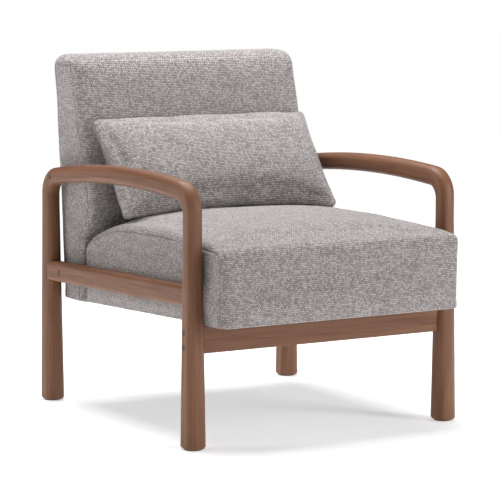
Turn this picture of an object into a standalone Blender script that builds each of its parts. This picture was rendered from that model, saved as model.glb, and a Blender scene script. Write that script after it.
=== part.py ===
"""Wooden armchair: a bent walnut frame with an upholstered seat, a wedge back and a loose pillow.

Metres, +Z up. The origin is on the floor under the middle of the chair, which faces -Y.
"""

import math

import bmesh
import bpy
from mathutils import Euler, Matrix, Vector

# Overall size and the leg grid
DEPTH = 0.780
HEIGHT = 0.785
LEG_X = 0.3125
FRONT_LEG_Y = -0.303
REAR_LEG_Y = 0.352

# Gap kept between pieces that touch
GAP = 0.0003

# Leg section: half width, half depth and squareness, at the foot and at the joint with the arm
FOOT_HALF_X = 0.0232
FOOT_HALF_Y = 0.0270
FOOT_BEVEL = 0.004
GLIDE_HEIGHT = 0.003
GLIDE_RADIUS = 0.0192
LEG_TOP_Z = 0.445
LEG_TOP_HALF_X = 0.0180
LEG_TOP_HALF_Y = 0.0190
LEG_SQUARENESS = 2.4

# Arm: a shallow arch between two bent corners
ARM_CROWN_Y = -0.053
ARM_CROWN_Z = 0.5405
ARM_ARCH_RADIUS = 2.59
ARM_CORNER_RADIUS = 0.045
ARM_HALF_X = 0.0190
ARM_FRONT_HALF_Z = 0.0213
ARM_REAR_HALF_Z = 0.0188
ARM_SQUARENESS = 3.0
SECTION_POINTS = 16
CORNER_STEPS = 6
ARCH_STEPS = 7

# Side rails and front apron
RAIL_OUTER_X = 0.3305
RAIL_THICKNESS = 0.036
RAIL_HEIGHT = 0.0435
RAIL_FRONT_Z = 0.3182
RAIL_FALL = 0.0315
RAIL_EDGE = 0.007
TENON_WIDTH = 0.012
TENON_HEIGHT = 0.026
TENON_ROOT = 0.030
TENON_TIP = 0.005
RAIL_COPE_LEVELS = (0.20, 0.42)
APRON_FRONT_Y = -0.310
APRON_THICKNESS = 0.020
APRON_BOTTOM_Z = 0.198
APRON_TOP_Z = 0.2565
APRON_EDGE = 0.003
APRON_COPE_LEVELS = (0.15, 0.30)

# Fasteners
DOWEL_RADIUS = 0.005
DOWEL_LENGTH = 0.050
PLUG_RADIUS = 0.0064
PLUG_LENGTH = 0.006
PLUG_SIDES = 14
HOLE_OVERRUN = 0.010
SCREW_HEAD_RADIUS = 0.0045
SCREW_RADIUS = 0.0025
BOLT_HEAD_RADIUS = 0.0060
BOLT_RADIUS = 0.0040
HEAD_HEIGHT = 0.004
APRON_SCREW_Z = (0.244, 0.214)
APRON_SCREW_TIP_X = 0.262
PLUG_FACE_INSET = 0.0004
LOWER_BACK_BOLT = (0.277, 0.2995)
UPPER_BACK_BOLT = (0.316, 0.5135)
BACK_BOLT_TIP_X = 0.2680
SEAT_BOLT_Y = (-0.150, 0.150)
SEAT_BOLT_COVER = 0.014

# Seat unit, in its own frame: origin at the middle of the front bottom edge, +Y to the rear
SEAT_FRONT_Z = 0.2610
SEAT_TILT = math.radians(2.1)
SEAT_HALF_X = 0.2860
SEAT_LENGTH = 0.6220
SEAT_SIDE_HEIGHT = 0.172
SEAT_CROWN = 0.036
SEAT_FALL_START = 0.500
SEAT_REAR_FALL = 0.050
SEAT_EDGE_RADIUS = 0.030
SEAT_BOARD = 0.018
SEAT_BOARD_HEIGHT = 0.082
SEAT_BOARD_SETBACK = 0.010
DUST_CLOTH_INSET = 0.012
DUST_CLOTH_LEVELS = (0.0005, 0.0017)
SPRING_COUNT = 4
SPRING_SPACING = 0.125
SPRING_WIRE_RADIUS = 0.0018
SPRING_HALF_WIDTH = 0.020
SPRING_PITCH = 0.034

# Cloth and lining, as one skin
COVER_THICKNESS = 0.002
LINER_INSET = 0.003

# Back unit
BACK_HALF_X = 0.2850
BACK_FOAM_DEPTH = 0.030
FOAM_TAPER = 0.002
BACK_PANEL_THICKNESS = 0.018
BACK_RAIL_DEPTH = 0.030
BACK_BOARD_THICKNESS = 0.003
BACK_CORNER = 0.012
BACK_LINER = 0.0035
BACK_BOARD_INSET = 0.0065
BACK_PANEL_INSET = 0.0105
BACK_RAIL_INSET = 0.014
BACK_PANEL_FRONT_Y = 0.255
BACK_RAILS = (("bottom", 0.247, 0.060), ("middle", 0.480, 0.050), ("top", 0.680, 0.050))
BACK_BOARD_LEVELS = (0.250, 0.730)
REAR_FACE = ((0.250, 0.0450), (0.690, 0.0125))
PANEL_LEVELS = (0.246, 0.385, 0.470, 0.574, 0.640, 0.735)

# Loose pillow, leaning between the seat and the back
PILLOW_CENTRE = (0.0, 0.147, 0.5425)
PILLOW_LEAN = math.radians(35.9)
PILLOW_HALF_X = 0.278
PILLOW_HALF_HEIGHT = 0.122
PILLOW_HALF_THICKNESS = 0.050
PILLOW_SQUARENESS = 4.0
PILLOW_ARCH = 0.10
PILLOW_SEGMENTS = 16
ZIP_HALF_LENGTH = 0.130
ZIP_WIDTH = 0.010
ZIP_THICKNESS = 0.0012

SIDES = (("left", -1.0), ("right", 1.0))


# ---------------------------------------------------------------------------- scene


def clear_scene():
    for old in list(bpy.data.objects):
        bpy.data.objects.remove(old, do_unlink=True)


def new_collection(name):
    collection = bpy.data.collections.new(name)
    bpy.context.scene.collection.children.link(collection)
    return collection


def principled(name, colour, roughness, metallic=0.0):
    material = bpy.data.materials.new(name)
    material.use_nodes = True
    shader = material.node_tree.nodes["Principled BSDF"]
    shader.inputs["Base Color"].default_value = (*colour, 1.0)
    shader.inputs["Roughness"].default_value = roughness
    shader.inputs["Metallic"].default_value = metallic
    material.diffuse_color = (*colour, 1.0)
    return material


def make_materials():
    return {
        "walnut": principled("walnut", (0.165, 0.088, 0.055), 0.42),
        "end_grain": principled("end_grain", (0.080, 0.040, 0.024), 0.60),
        "beech": principled("beech", (0.52, 0.36, 0.22), 0.65),
        "plywood": principled("plywood", (0.50, 0.37, 0.24), 0.70),
        "hardboard": principled("hardboard", (0.22, 0.13, 0.08), 0.80),
        "steel": principled("steel", (0.50, 0.50, 0.52), 0.35, 1.0),
        "spring_steel": principled("spring_steel", (0.10, 0.10, 0.11), 0.40, 1.0),
        "nylon": principled("nylon", (0.03, 0.03, 0.03), 0.50),
        "tweed": principled("tweed", (0.36, 0.34, 0.33), 0.95),
        "foam": principled("foam", (0.82, 0.78, 0.62), 0.95),
        "fibre": principled("fibre", (0.85, 0.85, 0.83), 0.98),
        "dust_cloth": principled("dust_cloth", (0.02, 0.02, 0.02), 0.95),
    }


class Workshop:
    """Holds the collections and materials, and adds finished objects to them."""

    def __init__(self):
        self.parts = new_collection("wooden_armchair")
        self.cutters = new_collection("cutters")
        self.materials = make_materials()

    def add(self, name, mesh, material, matrix=None, parent=None):
        piece = bpy.data.objects.new(name, mesh)
        self.parts.objects.link(piece)
        piece.data.materials.append(self.materials[material])
        piece.parent = parent
        if matrix is not None:
            piece.matrix_local = matrix
        mesh.set_sharp_from_angle(angle=math.radians(40.0))
        return piece

    def add_cutter(self, name, mesh, matrix=None, parent=None):
        cutter = bpy.data.objects.new(name, mesh)
        self.cutters.objects.link(cutter)
        cutter.parent = parent
        if matrix is not None:
            cutter.matrix_local = matrix
        cutter.hide_render = True
        cutter.display_type = "WIRE"
        return cutter

    def add_empty(self, name, location, rotation):
        empty = bpy.data.objects.new(name, None)
        self.parts.objects.link(empty)
        empty.location = location
        empty.rotation_euler = rotation
        bpy.context.view_layer.update()
        return empty


def boolean(piece, other, operation="DIFFERENCE"):
    modifier = piece.modifiers.new(f"{operation.lower()}_{other.name}", "BOOLEAN")
    modifier.operation = operation
    modifier.solver = "EXACT"
    modifier.object = other


# ---------------------------------------------------------------------------- shapes


def finished_mesh(name, bm, smooth=True):
    bmesh.ops.recalc_face_normals(bm, faces=bm.faces)
    mesh = bpy.data.meshes.new(name)
    bm.to_mesh(mesh)
    bm.free()
    if smooth:
        mesh.shade_smooth()
    return mesh


def box_mesh(name, low, high, edge=0.0, long_axis=None):
    """A box between two corners; edge rounds it, on the edges along long_axis only where given."""
    bm = bmesh.new()
    bmesh.ops.create_cube(bm, size=1.0)
    size = Vector(high) - Vector(low)
    bmesh.ops.scale(bm, vec=size, verts=bm.verts)
    bmesh.ops.translate(bm, vec=(Vector(low) + Vector(high)) / 2.0, verts=bm.verts)
    if edge > 0.0:
        edges = bm.edges[:]
        if long_axis is not None:
            edges = [e for e in edges if abs((e.verts[0].co - e.verts[1].co)[long_axis]) > edge]
        bmesh.ops.bevel(bm, geom=edges, offset=edge, segments=3, profile=0.5, affect="EDGES")
    return finished_mesh(name, bm)


def profile_mesh(name, profile):
    """Half section of a turned solid, a line of (x, radius) from one end on the X axis to the other."""
    bm = bmesh.new()
    line = [(profile[-1][0], 0.0), *reversed(profile), (profile[0][0], 0.0)]
    points = [bm.verts.new((x, radius, 0.0)) for x, radius in line]
    for first, second in zip(points, points[1:]):
        bm.edges.new((first, second))
    mesh = bpy.data.meshes.new(name)
    bm.to_mesh(mesh)
    bm.free()
    return mesh


def turn(piece, sides=12):
    """Turns a piece's profile about its X axis into a closed solid."""
    modifier = piece.modifiers.new("turn", "SCREW")
    modifier.axis = "X"
    modifier.angle = 2.0 * math.pi
    modifier.steps = sides
    modifier.render_steps = sides
    modifier.use_merge_vertices = True
    modifier.merge_threshold = 0.00001
    return piece


def bridge_rings(bm, rings):
    """Skins a row of closed rings with quads and closes both ends."""
    for first, second in zip(rings, rings[1:]):
        count = len(first)
        for k in range(count):
            following = (k + 1) % count
            bm.faces.new((first[k], first[following], second[following], second[k]))
    bm.faces.new(rings[0][::-1])
    bm.faces.new(rings[-1])


def rod_mesh(name, x_low, x_high, radius, sides=12):
    """A straight round rod along X."""
    bm = bmesh.new()
    bmesh.ops.create_cone(
        bm, cap_ends=True, segments=sides, radius1=radius, radius2=radius, depth=x_high - x_low
    )
    place = Matrix.Translation(((x_low + x_high) / 2.0, 0.0, 0.0)) @ Matrix.Rotation(math.pi / 2.0, 4, "Y")
    bmesh.ops.transform(bm, matrix=place, verts=bm.verts)
    return finished_mesh(name, bm)


def plate_mesh(name, outline, x_low, x_high):
    """A flat piece: outline is a list of (y, z), extruded between two x values."""
    curve = bpy.data.curves.new(name, "CURVE")
    curve.dimensions = "2D"
    curve.fill_mode = "BOTH"
    curve.extrude = (x_high - x_low) / 2.0
    spline = curve.splines.new("POLY")
    spline.points.add(len(outline) - 1)
    for point, (y, z) in zip(spline.points, outline):
        point.co = (y, z, 0.0, 1.0)
    spline.use_cyclic_u = True
    holder = bpy.data.objects.new(name, curve)
    bpy.context.scene.collection.objects.link(holder)
    graph = bpy.context.evaluated_depsgraph_get()
    mesh = bpy.data.meshes.new_from_object(holder.evaluated_get(graph))
    bpy.data.objects.remove(holder)
    bpy.data.curves.remove(curve)
    bm = bmesh.new()
    bm.from_mesh(mesh)
    bpy.data.meshes.remove(mesh)
    bmesh.ops.remove_doubles(bm, verts=bm.verts, dist=1e-6)
    bmesh.ops.dissolve_limit(bm, angle_limit=math.radians(0.5), verts=bm.verts, edges=bm.edges)
    turn = Euler((math.pi / 2.0, 0.0, math.pi / 2.0)).to_matrix().to_4x4()
    place = Matrix.Translation(((x_low + x_high) / 2.0, 0.0, 0.0))
    bmesh.ops.transform(bm, matrix=place @ turn, verts=bm.verts)
    return finished_mesh(name, bm)


def superellipse(half_u, half_v, squareness):
    """Points of a rounded section, in its own plane, starting beside the +u side."""
    points = []
    for k in range(SECTION_POINTS):
        angle = 2.0 * math.pi * (k + 0.5) / SECTION_POINTS
        c = math.cos(angle)
        s = math.sin(angle)
        u = half_u * math.copysign(abs(c) ** (2.0 / squareness), c)
        v = half_v * math.copysign(abs(s) ** (2.0 / squareness), s)
        points.append((u, v))
    return points


def cushion_mesh(name, inset, bottom, open_bottom):
    """The seat's rounded block: crowned on top, drawn in by inset, its underside at bottom."""
    half_x = SEAT_HALF_X - inset
    half_y = SEAT_LENGTH / 2.0 - inset
    top = SEAT_SIDE_HEIGHT - inset
    radius = SEAT_EDGE_RADIUS - inset
    bm = bmesh.new()
    bmesh.ops.create_cube(bm, size=1.0)
    bmesh.ops.scale(bm, vec=(2.0 * half_x, 2.0 * half_y, top - bottom), verts=bm.verts)
    bmesh.ops.translate(bm, vec=(0.0, SEAT_LENGTH / 2.0, (top + bottom) / 2.0), verts=bm.verts)
    corner_edges = [e for e in bm.edges if min(v.co.z for v in e.verts) > bottom + 1e-6]
    corner_edges += [e for e in bm.edges if abs(e.verts[0].co.z - e.verts[1].co.z) > 1e-6]
    bmesh.ops.bevel(bm, geom=corner_edges, offset=radius, segments=3, profile=0.5, affect="EDGES")
    for fraction in (-0.6, -0.2, 0.2, 0.6):
        for axis, centre, half in ((0, 0.0, half_x), (1, SEAT_LENGTH / 2.0, half_y)):
            point = [0.0, 0.0, 0.0]
            normal = [0.0, 0.0, 0.0]
            point[axis] = centre + fraction * half
            normal[axis] = 1.0
            geometry = bm.verts[:] + bm.edges[:] + bm.faces[:]
            bmesh.ops.bisect_plane(bm, geom=geometry, plane_co=point, plane_no=normal)
    for vertex in bm.verts:
        across = vertex.co.x / half_x
        along = (vertex.co.y - SEAT_LENGTH / 2.0) / half_y
        if vertex.co.z > top - radius:
            vertex.co.z += SEAT_CROWN * (1.0 - across**2) * (1.0 - along**2)
            fall = max(0.0, vertex.co.y - SEAT_FALL_START) / (SEAT_LENGTH - SEAT_FALL_START)
            vertex.co.z -= SEAT_REAR_FALL * fall**2
    if open_bottom:
        under = [f for f in bm.faces if all(v.co.z < bottom + 1e-6 for v in f.verts)]
        bmesh.ops.delete(bm, geom=under, context="FACES")
    return finished_mesh(name, bm)


def pillow_mesh(name, inset, slit):
    """A plump pillow: a rounded rectangle in X and Z, swelling in Y, with a slit along the bottom."""
    bm = bmesh.new()
    bmesh.ops.create_uvsphere(bm, u_segments=PILLOW_SEGMENTS, v_segments=12, radius=1.0)
    turn = Matrix.Rotation(math.pi / 2.0, 4, "Y") @ Matrix.Rotation(math.pi / PILLOW_SEGMENTS, 4, "Z")
    bmesh.ops.transform(bm, matrix=turn, verts=bm.verts)
    for vertex in bm.verts:
        x, y, z = vertex.co
        outline = (abs(x) ** PILLOW_SQUARENESS + abs(z) ** PILLOW_SQUARENESS) ** (2.0 / PILLOW_SQUARENESS)
        scale = 1.0 / math.sqrt(outline + y * y)
        x *= scale * (PILLOW_HALF_X - inset)
        y *= scale * (PILLOW_HALF_THICKNESS - inset)
        z *= scale * (PILLOW_HALF_HEIGHT - inset)
        if z < 0.0:
            z *= 1.0 - PILLOW_ARCH * (1.0 - (x / PILLOW_HALF_X) ** 2)
        vertex.co = (x, y, z)
    if slit:
        bm.faces.ensure_lookup_table()
        low = min(f.calc_center_median().z for f in bm.faces)
        under = [
            f
            for f in bm.faces
            if f.calc_center_median().z < 0.8 * low
            and abs(f.calc_center_median().y) < 0.004
            and abs(f.calc_center_median().x) < 0.6 * PILLOW_HALF_X
        ]
        bmesh.ops.delete(bm, geom=under, context="FACES")
    return finished_mesh(name, bm)


# ---------------------------------------------------------------------------- wooden frame


def leg_half_sizes(z):
    rise = z / LEG_TOP_Z
    half_x = FOOT_HALF_X + (LEG_TOP_HALF_X - FOOT_HALF_X) * rise
    half_y = FOOT_HALF_Y + (LEG_TOP_HALF_Y - FOOT_HALF_Y) * rise
    return half_x, half_y


def leg_mesh(name, x, y, low, high, grow=0.0):
    """A leg between two heights; grow makes it larger all round, for a cutter."""
    bm = bmesh.new()
    rings = []
    levels = [(low, -FOOT_BEVEL / 2.0), (low + FOOT_BEVEL, 0.0), (high, 0.0)]
    if grow > 0.0:
        levels = [(low, grow), (high, grow)]
    for z, extra in levels:
        half_x, half_y = leg_half_sizes(z)
        section = superellipse(half_x + extra, half_y + extra, LEG_SQUARENESS)
        rings.append([bm.verts.new((x + u, y + v, z)) for u, v in section])
    bridge_rings(bm, rings)
    return finished_mesh(name, bm)


def arc_points(centre, radius, start, end, steps):
    """Stations of an arc in the YZ plane: (y, z, direction of the outer side)."""
    stations = []
    for k in range(steps + 1):
        angle = start + (end - start) * k / steps
        y = centre[0] + radius * math.cos(angle)
        z = centre[1] + radius * math.sin(angle)
        stations.append((y, z, angle))
    return stations


def arm_stations():
    """The arm's centre line from the front leg's top, round both corners, to the rear leg's top."""
    arch_z = ARM_CROWN_Z - ARM_ARCH_RADIUS
    reach = ARM_ARCH_RADIUS - ARM_CORNER_RADIUS
    corners = []
    for y in (FRONT_LEG_Y + ARM_CORNER_RADIUS, REAR_LEG_Y - ARM_CORNER_RADIUS):
        rise = math.sqrt(reach**2 - (y - ARM_CROWN_Y) ** 2)
        corners.append((y, arch_z + rise, math.atan2(rise, y - ARM_CROWN_Y)))
    (front_y, front_z, front_angle), (rear_y, rear_z, rear_angle) = corners
    stations = [(FRONT_LEG_Y, LEG_TOP_Z + GAP, math.pi)]
    stations += arc_points((front_y, front_z), ARM_CORNER_RADIUS, math.pi, front_angle, CORNER_STEPS)
    arch = arc_points((ARM_CROWN_Y, arch_z), ARM_ARCH_RADIUS, front_angle, rear_angle, ARCH_STEPS)
    stations += arch[1:-1]
    stations += arc_points((rear_y, rear_z), ARM_CORNER_RADIUS, rear_angle, 0.0, CORNER_STEPS)
    stations.append((REAR_LEG_Y, LEG_TOP_Z + GAP, 0.0))
    return stations


def arm_section(y, angle):
    """Half sizes and squareness of the arm where its outer side points along angle."""
    along = (y - FRONT_LEG_Y) / (REAR_LEG_Y - FRONT_LEG_Y)
    level = math.sin(angle)
    half_z = ARM_FRONT_HALF_Z + (ARM_REAR_HALF_Z - ARM_FRONT_HALF_Z) * along
    half_x = LEG_TOP_HALF_X + (ARM_HALF_X - LEG_TOP_HALF_X) * level
    half_v = LEG_TOP_HALF_Y + (half_z - LEG_TOP_HALF_Y) * level
    squareness = LEG_SQUARENESS + (ARM_SQUARENESS - LEG_SQUARENESS) * level
    return half_x, half_v, squareness


def arm_mesh(name, x):
    bm = bmesh.new()
    rings = []
    for y, z, angle in arm_stations():
        half_x, half_v, squareness = arm_section(y, angle)
        outward = Vector((0.0, math.cos(angle), math.sin(angle)))
        centre = Vector((x, y, z))
        section = superellipse(half_x, half_v, squareness)
        rings.append([bm.verts.new(centre + Vector((u, 0.0, 0.0)) + outward * v) for u, v in section])
    bridge_rings(bm, rings)
    return finished_mesh(name, bm)


def build_legs(shop):
    legs = {}
    for side, sign in SIDES:
        for row, y in (("front", FRONT_LEG_Y), ("rear", REAR_LEG_Y)):
            name = f"{row}_leg_{side}"
            mesh = leg_mesh(name, sign * LEG_X, y, GLIDE_HEIGHT + GAP, LEG_TOP_Z)
            legs[row, side] = shop.add(name, mesh, "walnut")
    return legs


def build_arms(shop):
    arms = {}
    for side, sign in SIDES:
        name = f"arm_{side}"
        arms[side] = shop.add(name, arm_mesh(name, sign * LEG_X), "walnut")
    return arms


def build_arm_dowels(shop, legs, arms):
    """One dowel joins each leg to the arm's bent end."""
    for side, sign in SIDES:
        for row, y in (("front", FRONT_LEG_Y), ("rear", REAR_LEG_Y)):
            place = Matrix.Translation((sign * LEG_X, y, LEG_TOP_Z)) @ Matrix.Rotation(math.pi / 2.0, 4, "Y")
            half = DOWEL_LENGTH / 2.0
            rod = rod_mesh(f"dowel_{row}_{side}", -half, half, DOWEL_RADIUS)
            shop.add(f"dowel_{row}_{side}", rod, "beech", place)
            bore = rod_mesh("dowel_bore", -half - GAP, half + GAP, DOWEL_RADIUS + GAP)
            cutter = shop.add_cutter(f"dowel_bore_{row}_{side}", bore, place)
            boolean(legs[row, side], cutter)
            boolean(arms[side], cutter)


def rail_centre_z(y):
    return RAIL_FRONT_Z - RAIL_FALL * (y - FRONT_LEG_Y)


def build_side_rails(shop, legs):
    """Each side rail falls to the rear and is coped and tenoned into both legs."""
    rails = {}
    tilt = -math.atan(RAIL_FALL)
    middle_y = (FRONT_LEG_Y + REAR_LEG_Y) / 2.0
    half_length = (REAR_LEG_Y - FRONT_LEG_Y) / 2.0
    for side, sign in SIDES:
        centre = (sign * (RAIL_OUTER_X - RAIL_THICKNESS / 2.0), middle_y, rail_centre_z(middle_y))
        place = Matrix.Translation(centre) @ Matrix.Rotation(tilt, 4, "X")
        half = Vector((RAIL_THICKNESS / 2.0, half_length, RAIL_HEIGHT / 2.0))
        name = f"side_rail_{side}"
        mesh = box_mesh(name, -half, half, edge=RAIL_EDGE, long_axis=1)
        rail = shop.add(name, mesh, "walnut", place)
        for row, y, inward in (("front", FRONT_LEG_Y, 1.0), ("rear", REAR_LEG_Y, -1.0)):
            cope = leg_mesh("cope", sign * LEG_X, y, *RAIL_COPE_LEVELS, grow=GAP)
            boolean(rail, shop.add_cutter(f"cope_{row}_{side}", cope))
            far = inward * TENON_ROOT
            near = inward * TENON_TIP
            tenon_low = Vector((-TENON_WIDTH / 2.0, min(near, far), -TENON_HEIGHT / 2.0))
            tenon_high = Vector((TENON_WIDTH / 2.0, max(near, far), TENON_HEIGHT / 2.0))
            root = Matrix.Translation((sign * LEG_X, y, rail_centre_z(y)))
            root = root @ Matrix.Rotation(tilt, 4, "X")
            tenon = box_mesh("tenon", tenon_low, tenon_high)
            boolean(rail, shop.add_cutter(f"tenon_{row}_{side}", tenon, root), "UNION")
            slack = Vector((GAP, GAP, GAP))
            mortise = box_mesh("mortise", tenon_low - slack, tenon_high + slack)
            boolean(legs[row, side], shop.add_cutter(f"mortise_{row}_{side}", mortise, root))
        rails[side] = rail
    return rails


def build_apron(shop, legs):
    """The front apron runs between the front legs; two screws through each leg hold it."""
    low = Vector((-LEG_X, APRON_FRONT_Y, APRON_BOTTOM_Z))
    high = Vector((LEG_X, APRON_FRONT_Y + APRON_THICKNESS, APRON_TOP_Z))
    mesh = box_mesh("front_apron", low, high, edge=APRON_EDGE, long_axis=0)
    apron = shop.add("front_apron", mesh, "walnut")
    for side, sign in SIDES:
        cope = leg_mesh("cope", sign * LEG_X, FRONT_LEG_Y, *APRON_COPE_LEVELS, grow=GAP)
        boolean(apron, shop.add_cutter(f"apron_cope_{side}", cope))
    for side, sign in SIDES:
        for level, z in zip(("upper", "lower"), APRON_SCREW_Z):
            face_x = LEG_X + leg_half_sizes(z)[0] - PLUG_FACE_INSET
            label = f"apron_{level}_{side}"
            cutter = fit_fastener(
                shop, label, sign, (FRONT_LEG_Y, z), face_x, APRON_SCREW_TIP_X,
                SCREW_HEAD_RADIUS, SCREW_RADIUS,
            )
            boolean(legs["front", side], cutter)
            boolean(apron, cutter)
    return apron


def fit_fastener(shop, label, sign, place, face_x, tip_x, head_radius, shank_radius):
    """A fastener along X under a wood plug; returns the cutter that makes its stepped hole."""
    y, z = place
    at = Matrix.Translation((0.0, y, z))
    if sign < 0.0:
        at = at @ Matrix.Rotation(math.pi, 4, "Z")
    plug_inner = face_x - PLUG_LENGTH
    head_outer = plug_inner - GAP
    head_inner = head_outer - HEAD_HEIGHT
    plug = rod_mesh(f"plug_{label}", plug_inner, face_x, PLUG_RADIUS, PLUG_SIDES)
    shop.add(f"plug_{label}", plug, "end_grain", at)
    profile = [(tip_x, shank_radius), (head_inner, shank_radius)]
    profile += [(head_inner, head_radius), (head_outer, head_radius)]
    turn(shop.add(f"bolt_{label}", profile_mesh(f"bolt_{label}", profile), "steel", at))
    wide = PLUG_RADIUS + GAP
    narrow = shank_radius + GAP
    seat_x = head_inner - GAP
    hole = [(tip_x - GAP, narrow), (seat_x, narrow), (seat_x, wide), (face_x + HOLE_OVERRUN, wide)]
    return turn(shop.add_cutter(f"hole_{label}", profile_mesh(f"hole_{label}", hole), at), PLUG_SIDES)


def build_glides(shop):
    """A nylon glide under each leg, which the chair stands on."""
    for side, sign in SIDES:
        for row, y in (("front", FRONT_LEG_Y), ("rear", REAR_LEG_Y)):
            place = Matrix.Translation((sign * LEG_X, y, 0.0)) @ Matrix.Rotation(math.pi / 2.0, 4, "Y")
            mesh = rod_mesh("glide", -GLIDE_HEIGHT, 0.0, GLIDE_RADIUS, sides=16)
            shop.add(f"glide_{row}_{side}", mesh, "nylon", place)


# ---------------------------------------------------------------------------- seat


def build_seat_boards(shop, seat):
    """The seat's beech frame: two side boards with a front and a rear board between them."""
    low = LINER_INSET
    top = low + SEAT_BOARD_HEIGHT
    outer = SEAT_HALF_X - LINER_INSET
    inner = outer - SEAT_BOARD
    end = SEAT_BOARD_SETBACK + SEAT_BOARD
    boards = {}
    for side, sign in SIDES:
        ends = sorted((sign * inner, sign * outer))
        mesh = box_mesh("board", (ends[0], end + GAP, low), (ends[1], SEAT_LENGTH - end - GAP, top))
        boards[side] = shop.add(f"seat_board_{side}", mesh, "beech", Matrix.Identity(4), seat)
    reach = (inner + outer) / 2.0
    for row, y in (("front", SEAT_BOARD_SETBACK), ("rear", SEAT_LENGTH - end)):
        mesh = box_mesh("board", (-reach, y, low), (reach, y + SEAT_BOARD, top))
        shop.add(f"seat_board_{row}", mesh, "beech", Matrix.Identity(4), seat)
    return boards


def spring_wire(half_width, length, height):
    """Centre line of a sinuous spring: straight ends and flat-topped waves between them."""
    count = int(length / SPRING_PITCH)
    start = (length - count * SPRING_PITCH) / 2.0
    points = [(0.0, 0.0, height), (0.0, start, height)]
    for k in range(count):
        sign = 1.0 if k % 2 == 0 else -1.0
        for fraction in (0.30, 0.70):
            points.append((sign * half_width, start + (k + fraction) * SPRING_PITCH, height))
    points += [(0.0, length - start, height), (0.0, length, height)]
    return points


def build_springs(shop, seat):
    """Sinuous springs from the front board's top edge to the rear board's."""
    start = SEAT_BOARD_SETBACK + LINER_INSET
    length = SEAT_LENGTH - 2.0 * start
    height = LINER_INSET + SEAT_BOARD_HEIGHT + SPRING_WIRE_RADIUS + GAP
    for k in range(SPRING_COUNT):
        name = f"seat_spring_{k + 1}"
        curve = bpy.data.curves.new(name, "CURVE")
        curve.dimensions = "3D"
        curve.bevel_depth = SPRING_WIRE_RADIUS
        curve.bevel_resolution = 1
        curve.use_fill_caps = True
        points = spring_wire(SPRING_HALF_WIDTH, length, height)
        spline = curve.splines.new("POLY")
        spline.points.add(len(points) - 1)
        x = (k - (SPRING_COUNT - 1) / 2.0) * SPRING_SPACING
        for point, (dx, y, z) in zip(spline.points, points):
            point.co = (x + dx, y + start, z, 1.0)
        wire = bpy.data.objects.new(name, curve)
        shop.parts.objects.link(wire)
        curve.materials.append(shop.materials["spring_steel"])
        wire.parent = seat


def build_seat(shop, rails):
    seat = shop.add_empty("seat_unit", (0.0, -DEPTH / 2.0, SEAT_FRONT_Z), (-SEAT_TILT, 0.0, 0.0))
    boards = build_seat_boards(shop, seat)
    build_springs(shop, seat)
    foam_bottom = LINER_INSET + SEAT_BOARD_HEIGHT + 2.0 * SPRING_WIRE_RADIUS + 4.0 * GAP
    foam = cushion_mesh("seat_foam", LINER_INSET, foam_bottom, open_bottom=False)
    shop.add("seat_foam", foam, "foam", Matrix.Identity(4), seat)
    skin = cushion_mesh("seat_cover", 0.0, 0.0, open_bottom=True)
    cover = shop.add("seat_cover", skin, "tweed", Matrix.Identity(4), seat)
    solidify = cover.modifiers.new("wall", "SOLIDIFY")
    solidify.thickness = COVER_THICKNESS
    solidify.offset = -1.0
    reach = SEAT_HALF_X - DUST_CLOTH_INSET
    cloth_low = (-reach, DUST_CLOTH_INSET, DUST_CLOTH_LEVELS[0])
    cloth_high = (reach, SEAT_LENGTH - DUST_CLOTH_INSET, DUST_CLOTH_LEVELS[1])
    cloth = box_mesh("seat_dust_cloth", cloth_low, cloth_high)
    shop.add("seat_dust_cloth", cloth, "dust_cloth", Matrix.Identity(4), seat)
    fit_seat_bolts(shop, boards, cover, rails)
    return cover


def fit_seat_bolts(shop, boards, cover, rails):
    """Two bolts a side, put in from inside the seat box, draw its side boards to the side rails."""
    head_x = SEAT_HALF_X - LINER_INSET - SEAT_BOARD - GAP
    tip_x = RAIL_OUTER_X - SEAT_BOLT_COVER
    profile = [(head_x - HEAD_HEIGHT, BOLT_HEAD_RADIUS), (head_x, BOLT_HEAD_RADIUS)]
    profile += [(head_x, BOLT_RADIUS), (tip_x, BOLT_RADIUS)]
    for side, sign in SIDES:
        for row, y in zip(("front", "rear"), SEAT_BOLT_Y):
            at = Matrix.Translation((0.0, y, rail_centre_z(y)))
            if sign < 0.0:
                at = at @ Matrix.Rotation(math.pi, 4, "Z")
            name = f"bolt_seat_{row}_{side}"
            turn(shop.add(name, profile_mesh(name, profile), "steel", at))
            hole = rod_mesh("hole", head_x - 0.002, tip_x + GAP, BOLT_RADIUS + GAP)
            cutter = shop.add_cutter(f"hole_seat_{row}_{side}", hole, at)
            for piece in (boards[side], cover, rails[side]):
                boolean(piece, cutter)


# ---------------------------------------------------------------------------- back


def back_front():
    """The back's front edge in side view, (y, z), from the bottom up."""
    return [
        (0.2375, 0.2340),
        (0.2355, 0.3850),
        (0.1970, 0.4250),
        (0.1925, 0.4560),
        (0.2020, 0.4950),
        (0.2225, 0.5740),
        (0.2425, 0.6400),
        (0.2595, 0.7100),
        (0.2790, 0.7620),
    ]


def back_top():
    """The back's rounded top in side view, from the front over to the rear."""
    rear = DEPTH / 2.0
    return [(0.2960, 0.7800), (0.3300, HEIGHT), (0.3650, 0.7790), (rear - 0.004, 0.7620), (rear, 0.7400)]


def back_rear():
    """The back's rear edge in side view, from the top down."""
    rear = DEPTH / 2.0
    (low_z, low_set), (high_z, high_set) = REAR_FACE
    return [
        (rear - high_set, high_z),
        (rear - 0.0210, 0.5970),
        (rear - 0.0330, 0.4100),
        (rear - low_set, low_z),
        (rear - 0.0560, 0.2330),
    ]


def back_outline():
    """Side outline of the back, (y, z), from the bottom front corner up, over and down."""
    return back_front() + back_top() + back_rear()


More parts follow.
